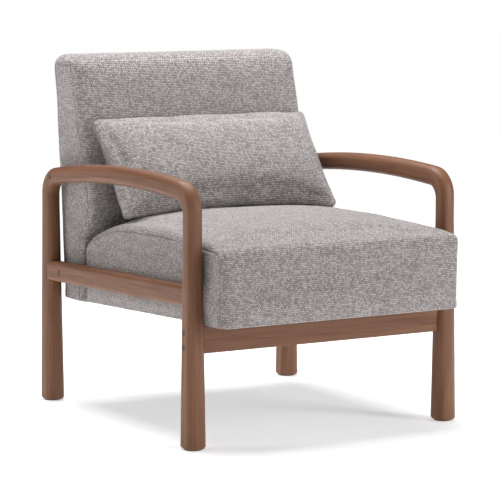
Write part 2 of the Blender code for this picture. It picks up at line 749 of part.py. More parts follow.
def inset_outline(outline, inset):
    """The same closed outline, moved inwards by inset at each corner."""
    points = [Vector(p) for p in outline]
    moved = []
    for k, point in enumerate(points):
        before = (point - points[k - 1]).normalized()
        after = (points[(k + 1) % len(points)] - point).normalized()
        normal = Vector((before.y + after.y, -before.x - after.x)).normalized()
        spread = max(0.5, normal.dot(Vector((before.y, -before.x))))
        moved.append(point + normal * inset / spread)
    return [(p.x, p.y) for p in moved]


def edge_at(line, z):
    """The y of a rising line of (y, z) points at height z."""
    for (y0, z0), (y1, z1) in zip(line, line[1:]):
        if z0 <= z <= z1:
            return y0 + (y1 - y0) * (z - z0) / (z1 - z0)
    raise ValueError(f"height {z} is outside the line")


def panel_front_line():
    """Front edge of the plywood side panels: the back's front less the foam."""
    front = back_front()
    return [(max(edge_at(front, z) + BACK_FOAM_DEPTH, BACK_PANEL_FRONT_Y), z) for z in PANEL_LEVELS]


def back_rear_line(z, inset):
    """The back's rear face less inset, at height z."""
    (low_z, low_set), (high_z, high_set) = REAR_FACE
    set_in = low_set + (high_set - low_set) * (z - low_z) / (high_z - low_z)
    return DEPTH / 2.0 - set_in - inset


def panel_outline():
    """Side panels: straight rear edge, front edge following the foam."""
    rear = [(back_rear_line(z, BACK_PANEL_INSET), z) for z in (PANEL_LEVELS[-1], PANEL_LEVELS[0])]
    return panel_front_line() + rear


def build_back_frame(shop):
    """Two plywood side panels, three beech rails between them, and a hardboard sheet behind."""
    panels = {}
    outer = BACK_HALF_X - BACK_LINER
    inner = outer - BACK_PANEL_THICKNESS
    for side, sign in SIDES:
        ends = sorted((sign * inner, sign * outer))
        mesh = plate_mesh("panel", panel_outline(), ends[0], ends[1])
        panels[side] = shop.add(f"back_panel_{side}", mesh, "plywood")
    reach = inner - GAP
    line = panel_front_line()
    for label, z, height in BACK_RAILS:
        front_y = max(edge_at(line, z), edge_at(line, z + height)) + 0.002
        rear_y = min(front_y + BACK_RAIL_DEPTH, back_rear_line(z, BACK_RAIL_INSET))
        mesh = box_mesh("rail", (-reach, front_y, z), (reach, rear_y, z + height))
        shop.add(f"back_rail_{label}", mesh, "beech")
    far = BACK_BOARD_INSET + BACK_BOARD_THICKNESS
    low, high = BACK_BOARD_LEVELS
    sheet = [(back_rear_line(low, far), low), (back_rear_line(high, far), high)]
    sheet += [(back_rear_line(z, BACK_BOARD_INSET), z) for z in (high, low)]
    half = outer - BACK_CORNER / 2.0
    shop.add("back_board", plate_mesh("back_board", sheet, -half, half), "hardboard")
    return panels


def build_back_foam(shop):
    """The foam covers the panels' front edges and wraps over their tops."""
    outline = inset_outline(back_outline(), BACK_LINER)
    front_and_top = outline[: len(back_front()) + len(back_top())]
    last_y = front_and_top[-1][0]
    step = 2.0 * GAP
    line = panel_front_line()
    top_y, top_z = line[-1]
    inner = [(last_y - FOAM_TAPER, top_z + step), (top_y - step, top_z + step)]
    inner += [(y - step, z) for y, z in reversed(line[:-1])]
    half = BACK_HALF_X - LINER_INSET - BACK_CORNER / 2.0
    mesh = plate_mesh("back_foam", front_and_top + inner, -half, half)
    shop.add("back_foam", mesh, "foam")


def is_side_edge(edge):
    """True for the edges between a side of the back and its rim."""
    across = abs(edge.verts[0].co.x - edge.verts[1].co.x)
    return across < 1e-6 and edge.calc_face_angle(0.0) > 1.2


def build_back(shop, rails, arms):
    panels = build_back_frame(shop)
    build_back_foam(shop)
    mesh = plate_mesh("back_cover", back_outline(), -BACK_HALF_X, BACK_HALF_X)
    bm = bmesh.new()
    bm.from_mesh(mesh)
    side_edges = [e for e in bm.edges if is_side_edge(e)]
    bmesh.ops.bevel(bm, geom=side_edges, offset=BACK_CORNER, segments=3, profile=0.5, affect="EDGES")
    bm.normal_update()
    under = [f for f in bm.faces if f.normal.z < -0.9 and f.calc_center_median().z < 0.24]
    bmesh.ops.delete(bm, geom=under, context="FACES")
    bm.to_mesh(mesh)
    bm.free()
    cover = shop.add("back_cover", mesh, "tweed")
    solidify = cover.modifiers.new("wall", "SOLIDIFY")
    solidify.thickness = COVER_THICKNESS
    solidify.offset = -1.0
    arm_x = LEG_X + ARM_HALF_X - 0.0004
    holders = (
        ("lower", LOWER_BACK_BOLT, RAIL_OUTER_X - PLUG_FACE_INSET, rails),
        ("upper", UPPER_BACK_BOLT, arm_x, arms),
    )
    for side, sign in SIDES:
        for level, place, face_x, holder in holders:
            label = f"back_{level}_{side}"
            cutter = fit_fastener(
                shop, label, sign, place, face_x, BACK_BOLT_TIP_X, BOLT_HEAD_RADIUS, BOLT_RADIUS
            )
            for piece in (holder[side], cover, panels[side]):
                boolean(piece, cutter)


# ---------------------------------------------------------------------------- pillow


def build_pillow(shop):
    pillow = shop.add_empty("pillow_unit", PILLOW_CENTRE, (-PILLOW_LEAN, 0.0, 0.0))
    skin = pillow_mesh("pillow_cover", 0.0, slit=True)
    cover = shop.add("pillow_cover", skin, "tweed", Matrix.Identity(4), pillow)
    solidify = cover.modifiers.new("wall", "SOLIDIFY")
    solidify.thickness = COVER_THICKNESS
    solidify.offset = -1.0
    filling = pillow_mesh("pillow_filling", 2.0 * LINER_INSET, slit=False)
    shop.add("pillow_filling", filling, "fibre", Matrix.Identity(4), pillow)
    level = -PILLOW_HALF_HEIGHT * (1.0 - PILLOW_ARCH)
    low = (-ZIP_HALF_LENGTH, -ZIP_WIDTH / 2.0, level)
    high = (ZIP_HALF_LENGTH, ZIP_WIDTH / 2.0, level + ZIP_THICKNESS)
    shop.add("pillow_zip", box_mesh("pillow_zip", low, high), "dust_cloth", Matrix.Identity(4), pillow)


def main():
    clear_scene()
    shop = Workshop()
    legs = build_legs(shop)
    arms = build_arms(shop)
    build_arm_dowels(shop, legs, arms)
    rails = build_side_rails(shop, legs)
    build_apron(shop, legs)
    build_glides(shop)
    build_seat(shop, rails)
    build_back(shop, rails, arms)
    build_pillow(shop)


main()
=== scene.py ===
"""Wooden armchair: bent walnut frame, upholstered seat and back, loose pillow.

Laid out as an add-on and run as a script. Metres, +Z up, the chair faces -Y.
"""

import math

import bmesh
import bpy
import numpy as np
from bpy.props import FloatProperty, FloatVectorProperty, PointerProperty
from mathutils import Matrix, Vector


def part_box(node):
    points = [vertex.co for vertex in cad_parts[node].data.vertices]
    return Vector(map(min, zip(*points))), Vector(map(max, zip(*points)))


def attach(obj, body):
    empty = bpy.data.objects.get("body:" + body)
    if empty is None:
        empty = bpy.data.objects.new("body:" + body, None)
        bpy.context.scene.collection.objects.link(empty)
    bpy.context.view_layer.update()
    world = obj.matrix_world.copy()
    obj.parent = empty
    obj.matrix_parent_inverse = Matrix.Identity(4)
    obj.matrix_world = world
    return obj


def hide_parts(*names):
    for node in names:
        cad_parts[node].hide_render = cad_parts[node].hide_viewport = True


bl_info = {
    "name": "Wooden Armchair",
    "version": (1, 0, 0),
    "blender": (4, 5, 0),
    "location": "3D View > Sidebar > Armchair",
    "description": "Builds an upholstered armchair with a bent walnut frame",
    "category": "Add Mesh",
}

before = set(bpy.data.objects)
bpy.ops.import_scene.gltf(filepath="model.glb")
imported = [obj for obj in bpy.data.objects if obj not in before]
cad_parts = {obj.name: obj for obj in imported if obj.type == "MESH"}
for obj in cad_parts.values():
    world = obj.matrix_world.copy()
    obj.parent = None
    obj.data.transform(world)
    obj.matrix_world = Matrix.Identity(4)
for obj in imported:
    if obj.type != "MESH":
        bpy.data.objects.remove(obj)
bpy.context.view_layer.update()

SIDES = (("left", -1.0), ("right", 1.0))
ROWS = ("front", "rear")

# Leg grid and joints, as in the solid model
LEG_X = 0.3125
LEG_Y = {"front": -0.303, "rear": 0.352}
LEG_TOP = 0.445
LEG_FOOT = 0.0033
FOOT_BEVEL = 0.004
ARCH_CENTRE = (-0.053, -2.0495)
ARCH_RADIUS = 2.59
RAIL_OUTER_X = 0.3305
RAIL_FRONT_Z = 0.3182
RAIL_FALL = 0.0315
APRON_LOW = (-0.3125, -0.310, 0.198)
APRON_HIGH = (0.3125, -0.290, 0.2565)
APRON_PLUG_Z = (0.244, 0.214)
RAIL_PLUG = (0.277, 0.2995)
ARM_PLUG = (0.316, 0.5135)
PLUG_HOLE = 0.004
PLUG_DEPTH = 0.0050
PLUG_SUNK = 0.0009
PLUG_GAP = 0.0007
LEG_FACE = 0.0205
RAIL_EDGE = 0.0085
PILLOW_CENTRE = Vector((0.0, 0.145, 0.5390))
PILLOW_LEAN = math.radians(35.9)
PILLOW_FRAME = Matrix.Translation(PILLOW_CENTRE) @ Matrix.Rotation(-PILLOW_LEAN, 4, "X")

# Seat: height of the top along its side edge, and of the underside, both as (y, z)
SEAT_TOP = (
    (-0.392, 0.4180), (-0.350, 0.4225), (-0.270, 0.4265), (-0.120, 0.4315), (0.000, 0.4290),
    (0.084, 0.4230), (0.139, 0.4090), (0.192, 0.3900), (0.236, 0.3620),
)
SEAT_UNDER = ((-0.392, 0.2580), (-0.200, 0.2545), (0.236, 0.2375))
CLOTH_GAP = 0.0008
CLOTH_SAG = 0.0050
STAPLE_PITCH = 0.045
STAPLE_INSET = 0.006
STAPLE_WIDTH = 0.0100
STAPLE_WIRE = 0.0009
ZIP_LENGTH = 0.260
ZIP_SETBACK = 0.0085
SEAM_INSET = 0.0150
BACK_SEAM_INSET = 0.0200
BACK_MIDDLE = Vector((0.0, 0.30, 0.5095))
BACK_SEAM_RISE = 0.272
SIDE_PANEL_X = 0.272
SEAM_WIDTH = 0.0030

# Back: side view of its front and rear faces, as (z, y)
BACK_FRONT = (
    (0.233, 0.2400), (0.385, 0.2385), (0.412, 0.2100), (0.456, 0.1975), (0.495, 0.2070),
    (0.574, 0.2275), (0.640, 0.2470), (0.710, 0.2640), (0.750, 0.2740), (0.785, 0.2840),
)
BACK_REAR = (
    (0.233, 0.3455), (0.250, 0.3465), (0.410, 0.3590), (0.534, 0.3690), (0.597, 0.3730),
    (0.690, 0.3830), (0.740, 0.3905), (0.785, 0.3920),
)


CAMERA_PLACE = (-2.7643, -4.6882, 1.0467)
CAMERA_AZIMUTH = -30.5463
CAMERA_PITCH = 7.1839
CAMERA_LENS = 178.90
LIGHT_TARGET = (0.0, 0.0, 0.4)
SIDE_LIGHT_SIZE = (0.9, 2.2)


# ---------------------------------------------------------------------------- settings


def length(name, description, default):
    return FloatProperty(name=name, description=description, default=default, unit="LENGTH")


def colour(name, description, default):
    return FloatVectorProperty(name=name, description=description, subtype="COLOR", size=3, default=default)


class ArmchairFrame(bpy.types.PropertyGroup):
    """Sizes of the wooden frame"""

    foot_width: length("Foot Width", "Width of a leg at the floor", 0.0464)
    foot_depth: length("Foot Depth", "Depth of a leg at the floor", 0.0540)
    neck_width: length("Neck Width", "Width of a leg where it meets the arm", 0.0360)
    neck_depth: length("Neck Depth", "Depth of a leg where it meets the arm", 0.0380)
    corner: length("Corner Radius", "Rounding of the leg and arm section", 0.0145)
    arm_width: length("Arm Width", "Width of the arm rest", 0.0380)
    arm_front: length("Arm Front Height", "Height of the arm at its front corner", 0.0426)
    arm_rear: length("Arm Rear Height", "Height of the arm at its rear corner", 0.0376)
    arm_bend: length("Arm Bend", "Centre line radius of the arm's bent corners", 0.045)
    rail_thickness: length("Rail Thickness", "Thickness of a side rail", 0.0360)
    rail_height: length("Rail Height", "Height of a side rail", 0.0435)
    rail_flare: length("Rail Flare", "Radius where a side rail runs into a leg", 0.0100)
    plug_radius: length("Plug Radius", "Radius of the wood plugs over the screws", 0.0064)


class ArmchairPadding(bpy.types.PropertyGroup):
    """Sizes of the seat, the back and the pillow"""

    seat_width: length("Seat Width", "Width of the seat before it swells", 0.5830)
    seat_crown: length("Seat Crown", "How much the middle of the seat rises", 0.0200)
    seat_swell: length("Seat Swell", "Most that the seat's cover moves out", 0.0070)
    back_width: length("Back Width", "Width of the back before it swells", 0.5780)
    back_swell: length("Back Swell", "Most that the back's cover moves out", 0.0060)
    pillow_width: length("Pillow Width", "Width of the pillow along its seam", 0.5490)
    pillow_height: length("Pillow Height", "Height of the pillow along its seam", 0.2550)
    pillow_depth: length("Pillow Depth", "Thickness of the pillow before it swells", 0.0820)
    pillow_swell: length("Pillow Swell", "Most that the pillow's cover moves out", 0.0120)
    seam_depth: length("Seam Depth", "How deep the seams are drawn in", 0.0022)


class ArmchairColours(bpy.types.PropertyGroup):
    """Colours of the wood, the cloth and the stage"""

    wood_light: colour("Wood Light", "Pale part of the walnut grain", (0.235, 0.108, 0.058))
    wood_dark: colour("Wood Dark", "Dark part of the walnut grain", (0.112, 0.045, 0.022))
    thread_light: colour("Light Thread", "Palest thread of the tweed", (0.540, 0.505, 0.490))
    thread_middle: colour("Middle Thread", "Main thread of the tweed", (0.300, 0.268, 0.262))
    thread_dark: colour("Dark Thread", "Darkest thread of the tweed", (0.058, 0.045, 0.046))
    floor: colour("Floor", "Colour of the floor", (0.80, 0.80, 0.80))
    side_light: FloatProperty(
        name="Side Light", description="Power of the two side lights", default=45.0, unit="POWER")
    top_light: FloatProperty(
        name="Top Light", description="Power of the overhead light", default=98.0, unit="POWER")


# ---------------------------------------------------------------------------- hand tools


def put_down():
    """Leaves edit mode and deselects everything."""
    if bpy.context.object is not None and bpy.context.object.mode != "OBJECT":
        bpy.ops.object.mode_set(mode="OBJECT")
    bpy.ops.object.select_all(action="DESELECT")


def pick_up(piece):
    """Makes a piece the only selected object and the active one."""
    put_down()
    piece.select_set(True)
    bpy.context.view_layer.objects.active = piece


def name_piece(name):
    piece = bpy.context.object
    piece.name = name
    piece.data.name = name
    return piece


def new_block(name, low, high):
    """A box between two corners, left in edit mode."""
    size = Vector(high) - Vector(low)
    middle = (Vector(low) + Vector(high)) / 2.0
    put_down()
    bpy.ops.mesh.primitive_cube_add(size=1.0, location=middle)
    piece = name_piece(name)
    bpy.ops.object.mode_set(mode="EDIT")
    bpy.ops.transform.resize(value=size, center_override=middle)
    return piece


def new_disc(name, place, axis_turn, radius, depth, sides=40):
    put_down()
    bpy.ops.mesh.primitive_cylinder_add(
        vertices=sides, radius=radius, depth=depth, location=place, rotation=axis_turn)
    return name_piece(name)


def pick(piece, kind, test):
    """In edit mode, selects the vertices, edges or faces that pass a test, in the piece's own space."""
    bpy.ops.mesh.select_mode(type=kind)
    bpy.ops.mesh.select_all(action="DESELECT")
    bm = bmesh.from_edit_mesh(piece.data)
    for element in {"VERT": bm.verts, "EDGE": bm.edges, "FACE": bm.faces}[kind]:
        element.select_set(bool(test(element)))
    bm.select_flush_mode()
    bmesh.update_edit_mesh(piece.data)


def cut_across(axis, places):
    """In edit mode, cuts the whole piece square to an axis at each place."""
    for place in places:
        point = [0.0, 0.0, 0.0]
        normal = [0.0, 0.0, 0.0]
        point[axis] = place
        normal[axis] = 1.0
        bpy.ops.mesh.select_all(action="SELECT")
        bpy.ops.mesh.bisect(plane_co=point, plane_no=normal)


def close_up(piece, smooth_angle=40.0):
    """Merges doubles, turns the faces outwards, places the piece in its mesh and shades it."""
    pick_up(piece)
    bpy.ops.object.mode_set(mode="EDIT")
    bpy.ops.mesh.select_all(action="SELECT")
    bpy.ops.mesh.remove_doubles(threshold=0.00002)
    bpy.ops.mesh.normals_make_consistent(inside=False)
    bpy.ops.object.mode_set(mode="OBJECT")
    bpy.ops.object.transform_apply(location=True, rotation=True, scale=True)
    bpy.ops.object.shade_smooth_by_angle(angle=math.radians(smooth_angle))
    return piece


def even_normals(piece):
    """Keeps the flat faces flat beside their rounded edges."""
    pick_up(piece)
    bpy.ops.object.modifier_add(type="WEIGHTED_NORMAL")
    piece.modifiers[-1].keep_sharp = True
    bpy.ops.object.modifier_apply(modifier=piece.modifiers[-1].name)


def drill(piece, place, radius, depth):
    """Bores a flat-bottomed hole along X, centred on place."""
    cutter = new_disc("cutter", place, (0.0, math.pi / 2.0, 0.0), radius, 2.0 * depth)
    pick_up(piece)
    bpy.ops.object.modifier_add(type="BOOLEAN")
    hole = piece.modifiers[-1]
    hole.operation = "DIFFERENCE"
    hole.solver = "EXACT"
    hole.object = cutter
    bpy.ops.object.modifier_apply(modifier=hole.name)
    bpy.data.objects.remove(cutter, do_unlink=True)


def copy_across(piece, name):
    """A copy on the other side of the chair, with its own mesh, facing outwards."""
    pick_up(piece)
    bpy.ops.object.duplicate()
    twin = name_piece(name)
    bpy.ops.transform.resize(value=(-1.0, 1.0, 1.0), center_override=(0.0, 0.0, 0.0))
    bpy.ops.object.transform_apply(location=True, rotation=True, scale=True)
    bpy.ops.object.mode_set(mode="EDIT")
    bpy.ops.mesh.select_all(action="SELECT")
    bpy.ops.mesh.normals_make_consistent(inside=False)
    bpy.ops.object.mode_set(mode="OBJECT")
    return twin


def points_of(piece):
    flat = np.empty(3 * len(piece.data.vertices))
    piece.data.vertices.foreach_get("co", flat)
    return flat.reshape(-1, 3)


def move_points(piece, places):
    piece.data.vertices.foreach_set("co", np.asarray(places).ravel())
    piece.data.update()


def finish_piece(piece, body, material, slot, *nodes):
    """Gives a piece its material and body, and hides the nodes that it stands for. The slot argument is not
    used.
    """
    piece.data.materials.clear()
    piece.data.materials.append(material)
    if nodes:
        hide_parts(*nodes)
    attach(piece, body)


def smooth_step(values, low, high):
    t = np.clip((values - low) / (high - low), 0.0, 1.0)
    return t * t * (3.0 - 2.0 * t)


# ---------------------------------------------------------------------------- node helpers


def new_group(name, inputs, outputs):
    """A shader node group with named sockets; inputs and outputs are (name, kind, value)."""
    group = bpy.data.node_groups.new(name, "ShaderNodeTree")
    kinds = {"value": "NodeSocketFloat", "colour": "NodeSocketColor", "vector": "NodeSocketVector"}
    for label, kind, value in inputs:
        socket = group.interface.new_socket(name=label, in_out="INPUT", socket_type=kinds[kind])
        if value is not None:
            socket.default_value = value
    for label, kind in outputs:
        group.interface.new_socket(name=label, in_out="OUTPUT", socket_type=kinds[kind])
    return group, group.nodes.new("NodeGroupInput"), group.nodes.new("NodeGroupOutput")


def set_input(tree, node, key, value):
    """Links value to a node's input if it is a socket, and sets it otherwise."""
    if isinstance(value, bpy.types.NodeSocket):
        tree.links.new(value, node.inputs[key])
    else:
        node.inputs[key].default_value = value


def math_node(tree, operation, first, second=0.0, third=None):
    node = tree.nodes.new("ShaderNodeMath")
    node.operation = operation
    set_input(tree, node, 0, first)
    set_input(tree, node, 1, second)
    if third is not None:
        set_input(tree, node, 2, third)
    return node.outputs[0]


def noise_node(tree, place, scale, detail=3.0, roughness=0.5, distortion=0.0):
    node = tree.nodes.new("ShaderNodeTexNoise")
    set_input(tree, node, "Vector", place)
    set_input(tree, node, "Scale", scale)
    set_input(tree, node, "Detail", detail)
    set_input(tree, node, "Roughness", roughness)
    set_input(tree, node, "Distortion", distortion)
    return node.outputs["Fac"]


def stretch_node(tree, place, scale):
    node = tree.nodes.new("ShaderNodeVectorMath")
    node.operation = "MULTIPLY"
    set_input(tree, node, 0, place)
    set_input(tree, node, 1, scale)
    return node.outputs[0]


def ramp_node(tree, value, low, high, to_low=0.0, to_high=1.0):
    """Smoothly maps value from one range to another."""
    node = tree.nodes.new("ShaderNodeMapRange")
    node.interpolation_type = "SMOOTHSTEP"
    set_input(tree, node, "Value", value)
    set_input(tree, node, "From Min", low)
    set_input(tree, node, "From Max", high)
    set_input(tree, node, "To Min", to_low)
    set_input(tree, node, "To Max", to_high)
    return node.outputs[0]


def mix_node(tree, factor, first, second, blend="MIX"):
    node = tree.nodes.new("ShaderNodeMix")
    node.data_type = "RGBA"
    node.blend_type = blend
    set_input(tree, node, 0, factor)
    set_input(tree, node, 6, first)
    set_input(tree, node, 7, second)
    return node.outputs[2]


def opaque(colour):
    return (colour[0], colour[1], colour[2], 1.0)


def make_grain_group():
    """Wood grain that runs along the third coordinate of Place."""
    group, given, out = new_group(
        "Wood Grain",
        (("Place", "vector", None), ("Light", "colour", (0.26, 0.14, 0.09, 1.0)),
         ("Dark", "colour", (0.13, 0.06, 0.04, 1.0)), ("Figure", "value", 0.6), ("Pores", "value", 0.5)),
        (("Colour", "colour"), ("Roughness", "value"), ("Height", "value")))
    place = given.outputs["Place"]
    bands = noise_node(group, stretch_node(group, place, (55.0, 55.0, 3.2)), 1.0, 4.0, 0.55, 0.8)
    streaks = noise_node(group, stretch_node(group, place, (420.0, 420.0, 9.0)), 1.0, 3.0, 0.6)
    pores = noise_node(group, stretch_node(group, place, (1500.0, 1500.0, 60.0)), 1.0, 1.0, 0.5)
    cloud = noise_node(group, stretch_node(group, place, (9.0, 9.0, 2.0)), 1.0, 2.0, 0.5)
    wide = ramp_node(group, bands, 0.32, 0.70)
    fine = ramp_node(group, streaks, 0.35, 0.66)
    part = math_node(group, "MULTIPLY", wide, 0.55)
    part = math_node(group, "MULTIPLY_ADD", fine, 0.30, part)
    part = math_node(group, "MULTIPLY_ADD", cloud, 0.25, part)
    part = math_node(group, "MULTIPLY", part, given.outputs["Figure"])
    colour = mix_node(group, part, given.outputs["Light"], given.outputs["Dark"])
    pore = ramp_node(group, pores, 0.60, 0.74)
    pore = math_node(group, "MULTIPLY", pore, given.outputs["Pores"])
    colour = mix_node(group, pore, colour, given.outputs["Dark"])
    group.links.new(colour, out.inputs["Colour"])
    group.links.new(ramp_node(group, fine, 0.0, 1.0, 0.40, 0.50), out.inputs["Roughness"])
    sunk = math_node(group, "MULTIPLY", pore, -0.8)
    group.links.new(math_node(group, "MULTIPLY_ADD", fine, 0.25, sunk), out.inputs["Height"])
    return group


def make_weave_group():
    """Heathered tweed: rows of slubs, each row shifted by half a slub, with painted shade in the pits between
    them.

    Seam is the distance from the nearest sewn line, in metres; near it the colour darkens as painted shade of
    the seam, and the height dips.
    """
    group, given, out = new_group(
        "Tweed Weave",
        (("Place", "vector", None), ("Slub Length", "value", 0.0046), ("Row Height", "value", 0.0038),
         ("Light", "colour", (0.62, 0.59, 0.56, 1.0)), ("Middle", "colour", (0.33, 0.30, 0.29, 1.0)),
         ("Dark", "colour", (0.08, 0.07, 0.07, 1.0)), ("Seam", "value", 0.1)),
        (("Colour", "colour"), ("Roughness", "value"), ("Height", "value")))
    place = given.outputs["Place"]
    split = group.nodes.new("ShaderNodeSeparateXYZ")
    group.links.new(place, split.inputs[0])
    sway = math_node(group, "MULTIPLY_ADD", noise_node(group, place, 90.0, 3.0, 0.7), 0.0016, -0.0008)
    drift = noise_node(group, stretch_node(group, place, (-130.0, 170.0, 50.0)), 1.0, 3.0, 0.7)
    drift = math_node(group, "MULTIPLY_ADD", drift, 0.0030, -0.0015)
    level = math_node(group, "ADD", split.outputs[1], sway)
    level = math_node(group, "DIVIDE", level, given.outputs["Row Height"])
    row = math_node(group, "FLOOR", level)
    across = math_node(group, "ADD", split.outputs[0], drift)
    across = math_node(group, "DIVIDE", across, given.outputs["Slub Length"])
    half_slub = math_node(group, "FRACT", math_node(group, "MULTIPLY", row, 0.5))
    across = math_node(group, "ADD", across, half_slub)
    bulge = 0.0
    for value in (across, level):
        off = math_node(group, "MULTIPLY_ADD", math_node(group, "FRACT", value), 2.0, -1.0)
        off = math_node(group, "POWER", math_node(group, "ABSOLUTE", off), 2.6)
        bulge = math_node(group, "ADD", off, bulge)
    lump = ramp_node(group, bulge, 0.15, 1.20, 1.0, 0.0)
    cell = group.nodes.new("ShaderNodeCombineXYZ")
    group.links.new(math_node(group, "FLOOR", across), cell.inputs[0])
    group.links.new(row, cell.inputs[1])
    chance = group.nodes.new("ShaderNodeTexWhiteNoise")
    chance.noise_dimensions = "2D"
    group.links.new(cell.outputs[0], chance.inputs["Vector"])
    fibres = noise_node(group, place, 1900.0, 2.0, 0.6)
    cloud = noise_node(group, stretch_node(group, place, (14.0, 60.0, 14.0)), 1.0, 3.0, 0.6)
    tone = math_node(group, "MULTIPLY_ADD", chance.outputs["Value"], 0.34, 0.235)
    tone = math_node(group, "MULTIPLY_ADD", cloud, 0.20, tone)
    tone = math_node(group, "MULTIPLY_ADD", fibres, 0.30, tone)
    dark = ramp_node(group, tone, 0.26, 0.60, 1.0, 0.0)
    light = ramp_node(group, tone, 0.52, 0.92)
    colour = mix_node(group, dark, given.outputs["Middle"], given.outputs["Dark"])
    colour = mix_node(group, light, colour, given.outputs["Light"])
    # Painted shade: the colour darkens to the dark thread in the pits between the slubs.
    pit_shade = ramp_node(group, lump, 0.0, 0.60, 1.0, 0.0)
    colour = mix_node(group, pit_shade, colour, given.outputs["Dark"])
    # Painted shade along the seams: darker towards the sewn line, where the height also dips.
    seam_shade_and_groove = ramp_node(group, given.outputs["Seam"], 0.0006, 0.0030, 0.62, 0.0)
    colour = mix_node(group, seam_shade_and_groove, colour, given.outputs["Dark"])
    group.links.new(colour, out.inputs["Colour"])
    group.links.new(ramp_node(group, fibres, 0.3, 0.7, 0.84, 0.98), out.inputs["Roughness"])
    height = math_node(group, "MULTIPLY_ADD", fibres, 0.35, lump)
    height = math_node(group, "MULTIPLY_ADD", seam_shade_and_groove, -1.0, height)
    group.links.new(height, out.inputs["Height"])
    return group


def make_speckle_group():
    """Two colours in fine irregular spots, with matching height and roughness."""
    group, given, out = new_group(
        "Speckle",
        (("Place", "vector", None), ("Spot Size", "value", 0.002),
         ("Colour A", "colour", (0.5, 0.5, 0.5, 1.0)),
         ("Colour B", "colour", (0.3, 0.3, 0.3, 1.0)), ("Roughness Low", "value", 0.5),
         ("Roughness High", "value", 0.8)),
        (("Colour", "colour"), ("Roughness", "value"), ("Height", "value")))
    scale = math_node(group, "DIVIDE", 1.0, given.outputs["Spot Size"])
    spots = noise_node(group, given.outputs["Place"], scale, 3.0, 0.6)
    part = ramp_node(group, spots, 0.36, 0.64)
    colour = mix_node(group, part, given.outputs["Colour A"], given.outputs["Colour B"])
    group.links.new(colour, out.inputs["Colour"])
    low = given.outputs["Roughness Low"]
    high = given.outputs["Roughness High"]
    group.links.new(ramp_node(group, spots, 0.3, 0.7, low, high), out.inputs["Roughness"])
    group.links.new(spots, out.inputs["Height"])
    return group


def new_material(name, group, values, place, bump, **fixed):
    """A Principled material fed by one group; place is the socket name or attribute that it follows."""
    material = bpy.data.materials.new(name)
    material.use_nodes = True
    tree = material.node_tree
    shader = tree.nodes["Principled BSDF"]
    effect = tree.nodes.new("ShaderNodeGroup")
    effect.node_tree = group
    for key, value in values.items():
        set_input(tree, effect, key, value)
    if place in ("Object", "UV"):
        source = tree.nodes.new("ShaderNodeTexCoord")
        tree.links.new(source.outputs[place], effect.inputs["Place"])
    else:
        source = tree.nodes.new("ShaderNodeAttribute")
        source.attribute_name = place
        tree.links.new(source.outputs["Vector"], effect.inputs["Place"])
    tree.links.new(effect.outputs["Colour"], shader.inputs["Base Color"])
    tree.links.new(effect.outputs["Roughness"], shader.inputs["Roughness"])
    relief = tree.nodes.new("ShaderNodeBump")
    relief.inputs["Distance"].default_value = bump
    relief.inputs["Strength"].default_value = 0.8
    tree.links.new(effect.outputs["Height"], relief.inputs["Height"])
    tree.links.new(relief.outputs["Normal"], shader.inputs["Normal"])
    for key, value in fixed.items():
        shader.inputs[key.replace("_", " ")].default_value = value
    return material, effect


def mix_materials():
    """Makes every finish once, from the shared groups."""
    tint = bpy.context.scene.armchair_colours
    grain = make_grain_group()
    weave = make_weave_group()
    speckle = make_speckle_group()
    wood = {"Light": opaque(tint.wood_light), "Dark": opaque(tint.wood_dark), "Figure": 0.85, "Pores": 0.5}
    walnut, _ = new_material("walnut", grain, wood, "grain_place", 0.0002, Specular_IOR_Level=0.28)
    walnut_end, _ = new_material(
        "end_grain", grain,
        {"Light": (0.10, 0.050, 0.032, 1.0), "Dark": (0.035, 0.018, 0.012, 1.0), "Figure": 1.0, "Pores": 0.9},
        "grain_place", 0.0003)
    threads = {
        "Light": opaque(tint.thread_light), "Middle": opaque(tint.thread_middle),
        "Dark": opaque(tint.thread_dark)}
    tweed, effect = new_material(
        "tweed", weave, threads, "UV", 0.0012, Sheen_Weight=0.25, Sheen_Roughness=0.6)
    # The seam distance drives the painted shade along the seams in the weave.
    seam = tweed.node_tree.nodes.new("ShaderNodeAttribute")
    seam.attribute_name = "seam"
    tweed.node_tree.links.new(seam.outputs["Fac"], effect.inputs["Seam"])
    return {"walnut": walnut, "end_grain": walnut_end, "tweed": tweed, "speckle_group": speckle}


PLAIN_FINISHES = (
    # slot, spot size, first colour, second colour, roughness low and high, metallic
    ("beech", 0.004, (0.56, 0.40, 0.26), (0.46, 0.31, 0.19), 0.55, 0.70, 0.0),
    ("plywood", 0.003, (0.55, 0.41, 0.27), (0.43, 0.31, 0.20), 0.60, 0.75, 0.0),
    ("hardboard", 0.002, (0.25, 0.15, 0.09), (0.17, 0.10, 0.06), 0.70, 0.90, 0.0),
    ("steel", 0.001, (0.55, 0.55, 0.57), (0.42, 0.42, 0.44), 0.28, 0.42, 1.0),
    ("spring_steel", 0.002, (0.12, 0.12, 0.13), (0.07, 0.07, 0.08), 0.35, 0.50, 1.0),
    ("nylon", 0.001, (0.035, 0.035, 0.035), (0.022, 0.022, 0.022), 0.42, 0.58, 0.0),
    ("foam", 0.002, (0.84, 0.80, 0.64), (0.70, 0.65, 0.48), 0.90, 1.00, 0.0),
    ("fibre", 0.003, (0.88, 0.88, 0.86), (0.72, 0.72, 0.70), 0.92, 1.00, 0.0),
    ("dust_cloth", 0.001, (0.024, 0.024, 0.025), (0.010, 0.010, 0.011), 0.88, 0.98, 0.0),
)


def mix_plain_materials(materials):
    for slot, spot, first, second, low, high, metal in PLAIN_FINISHES:
        values = {
            "Spot Size": spot, "Colour A": opaque(first), "Colour B": opaque(second),
            "Roughness Low": low, "Roughness High": high}
        materials[slot], _ = new_material(
            slot, materials["speckle_group"], values, "Object", 0.0002, Metallic=metal)


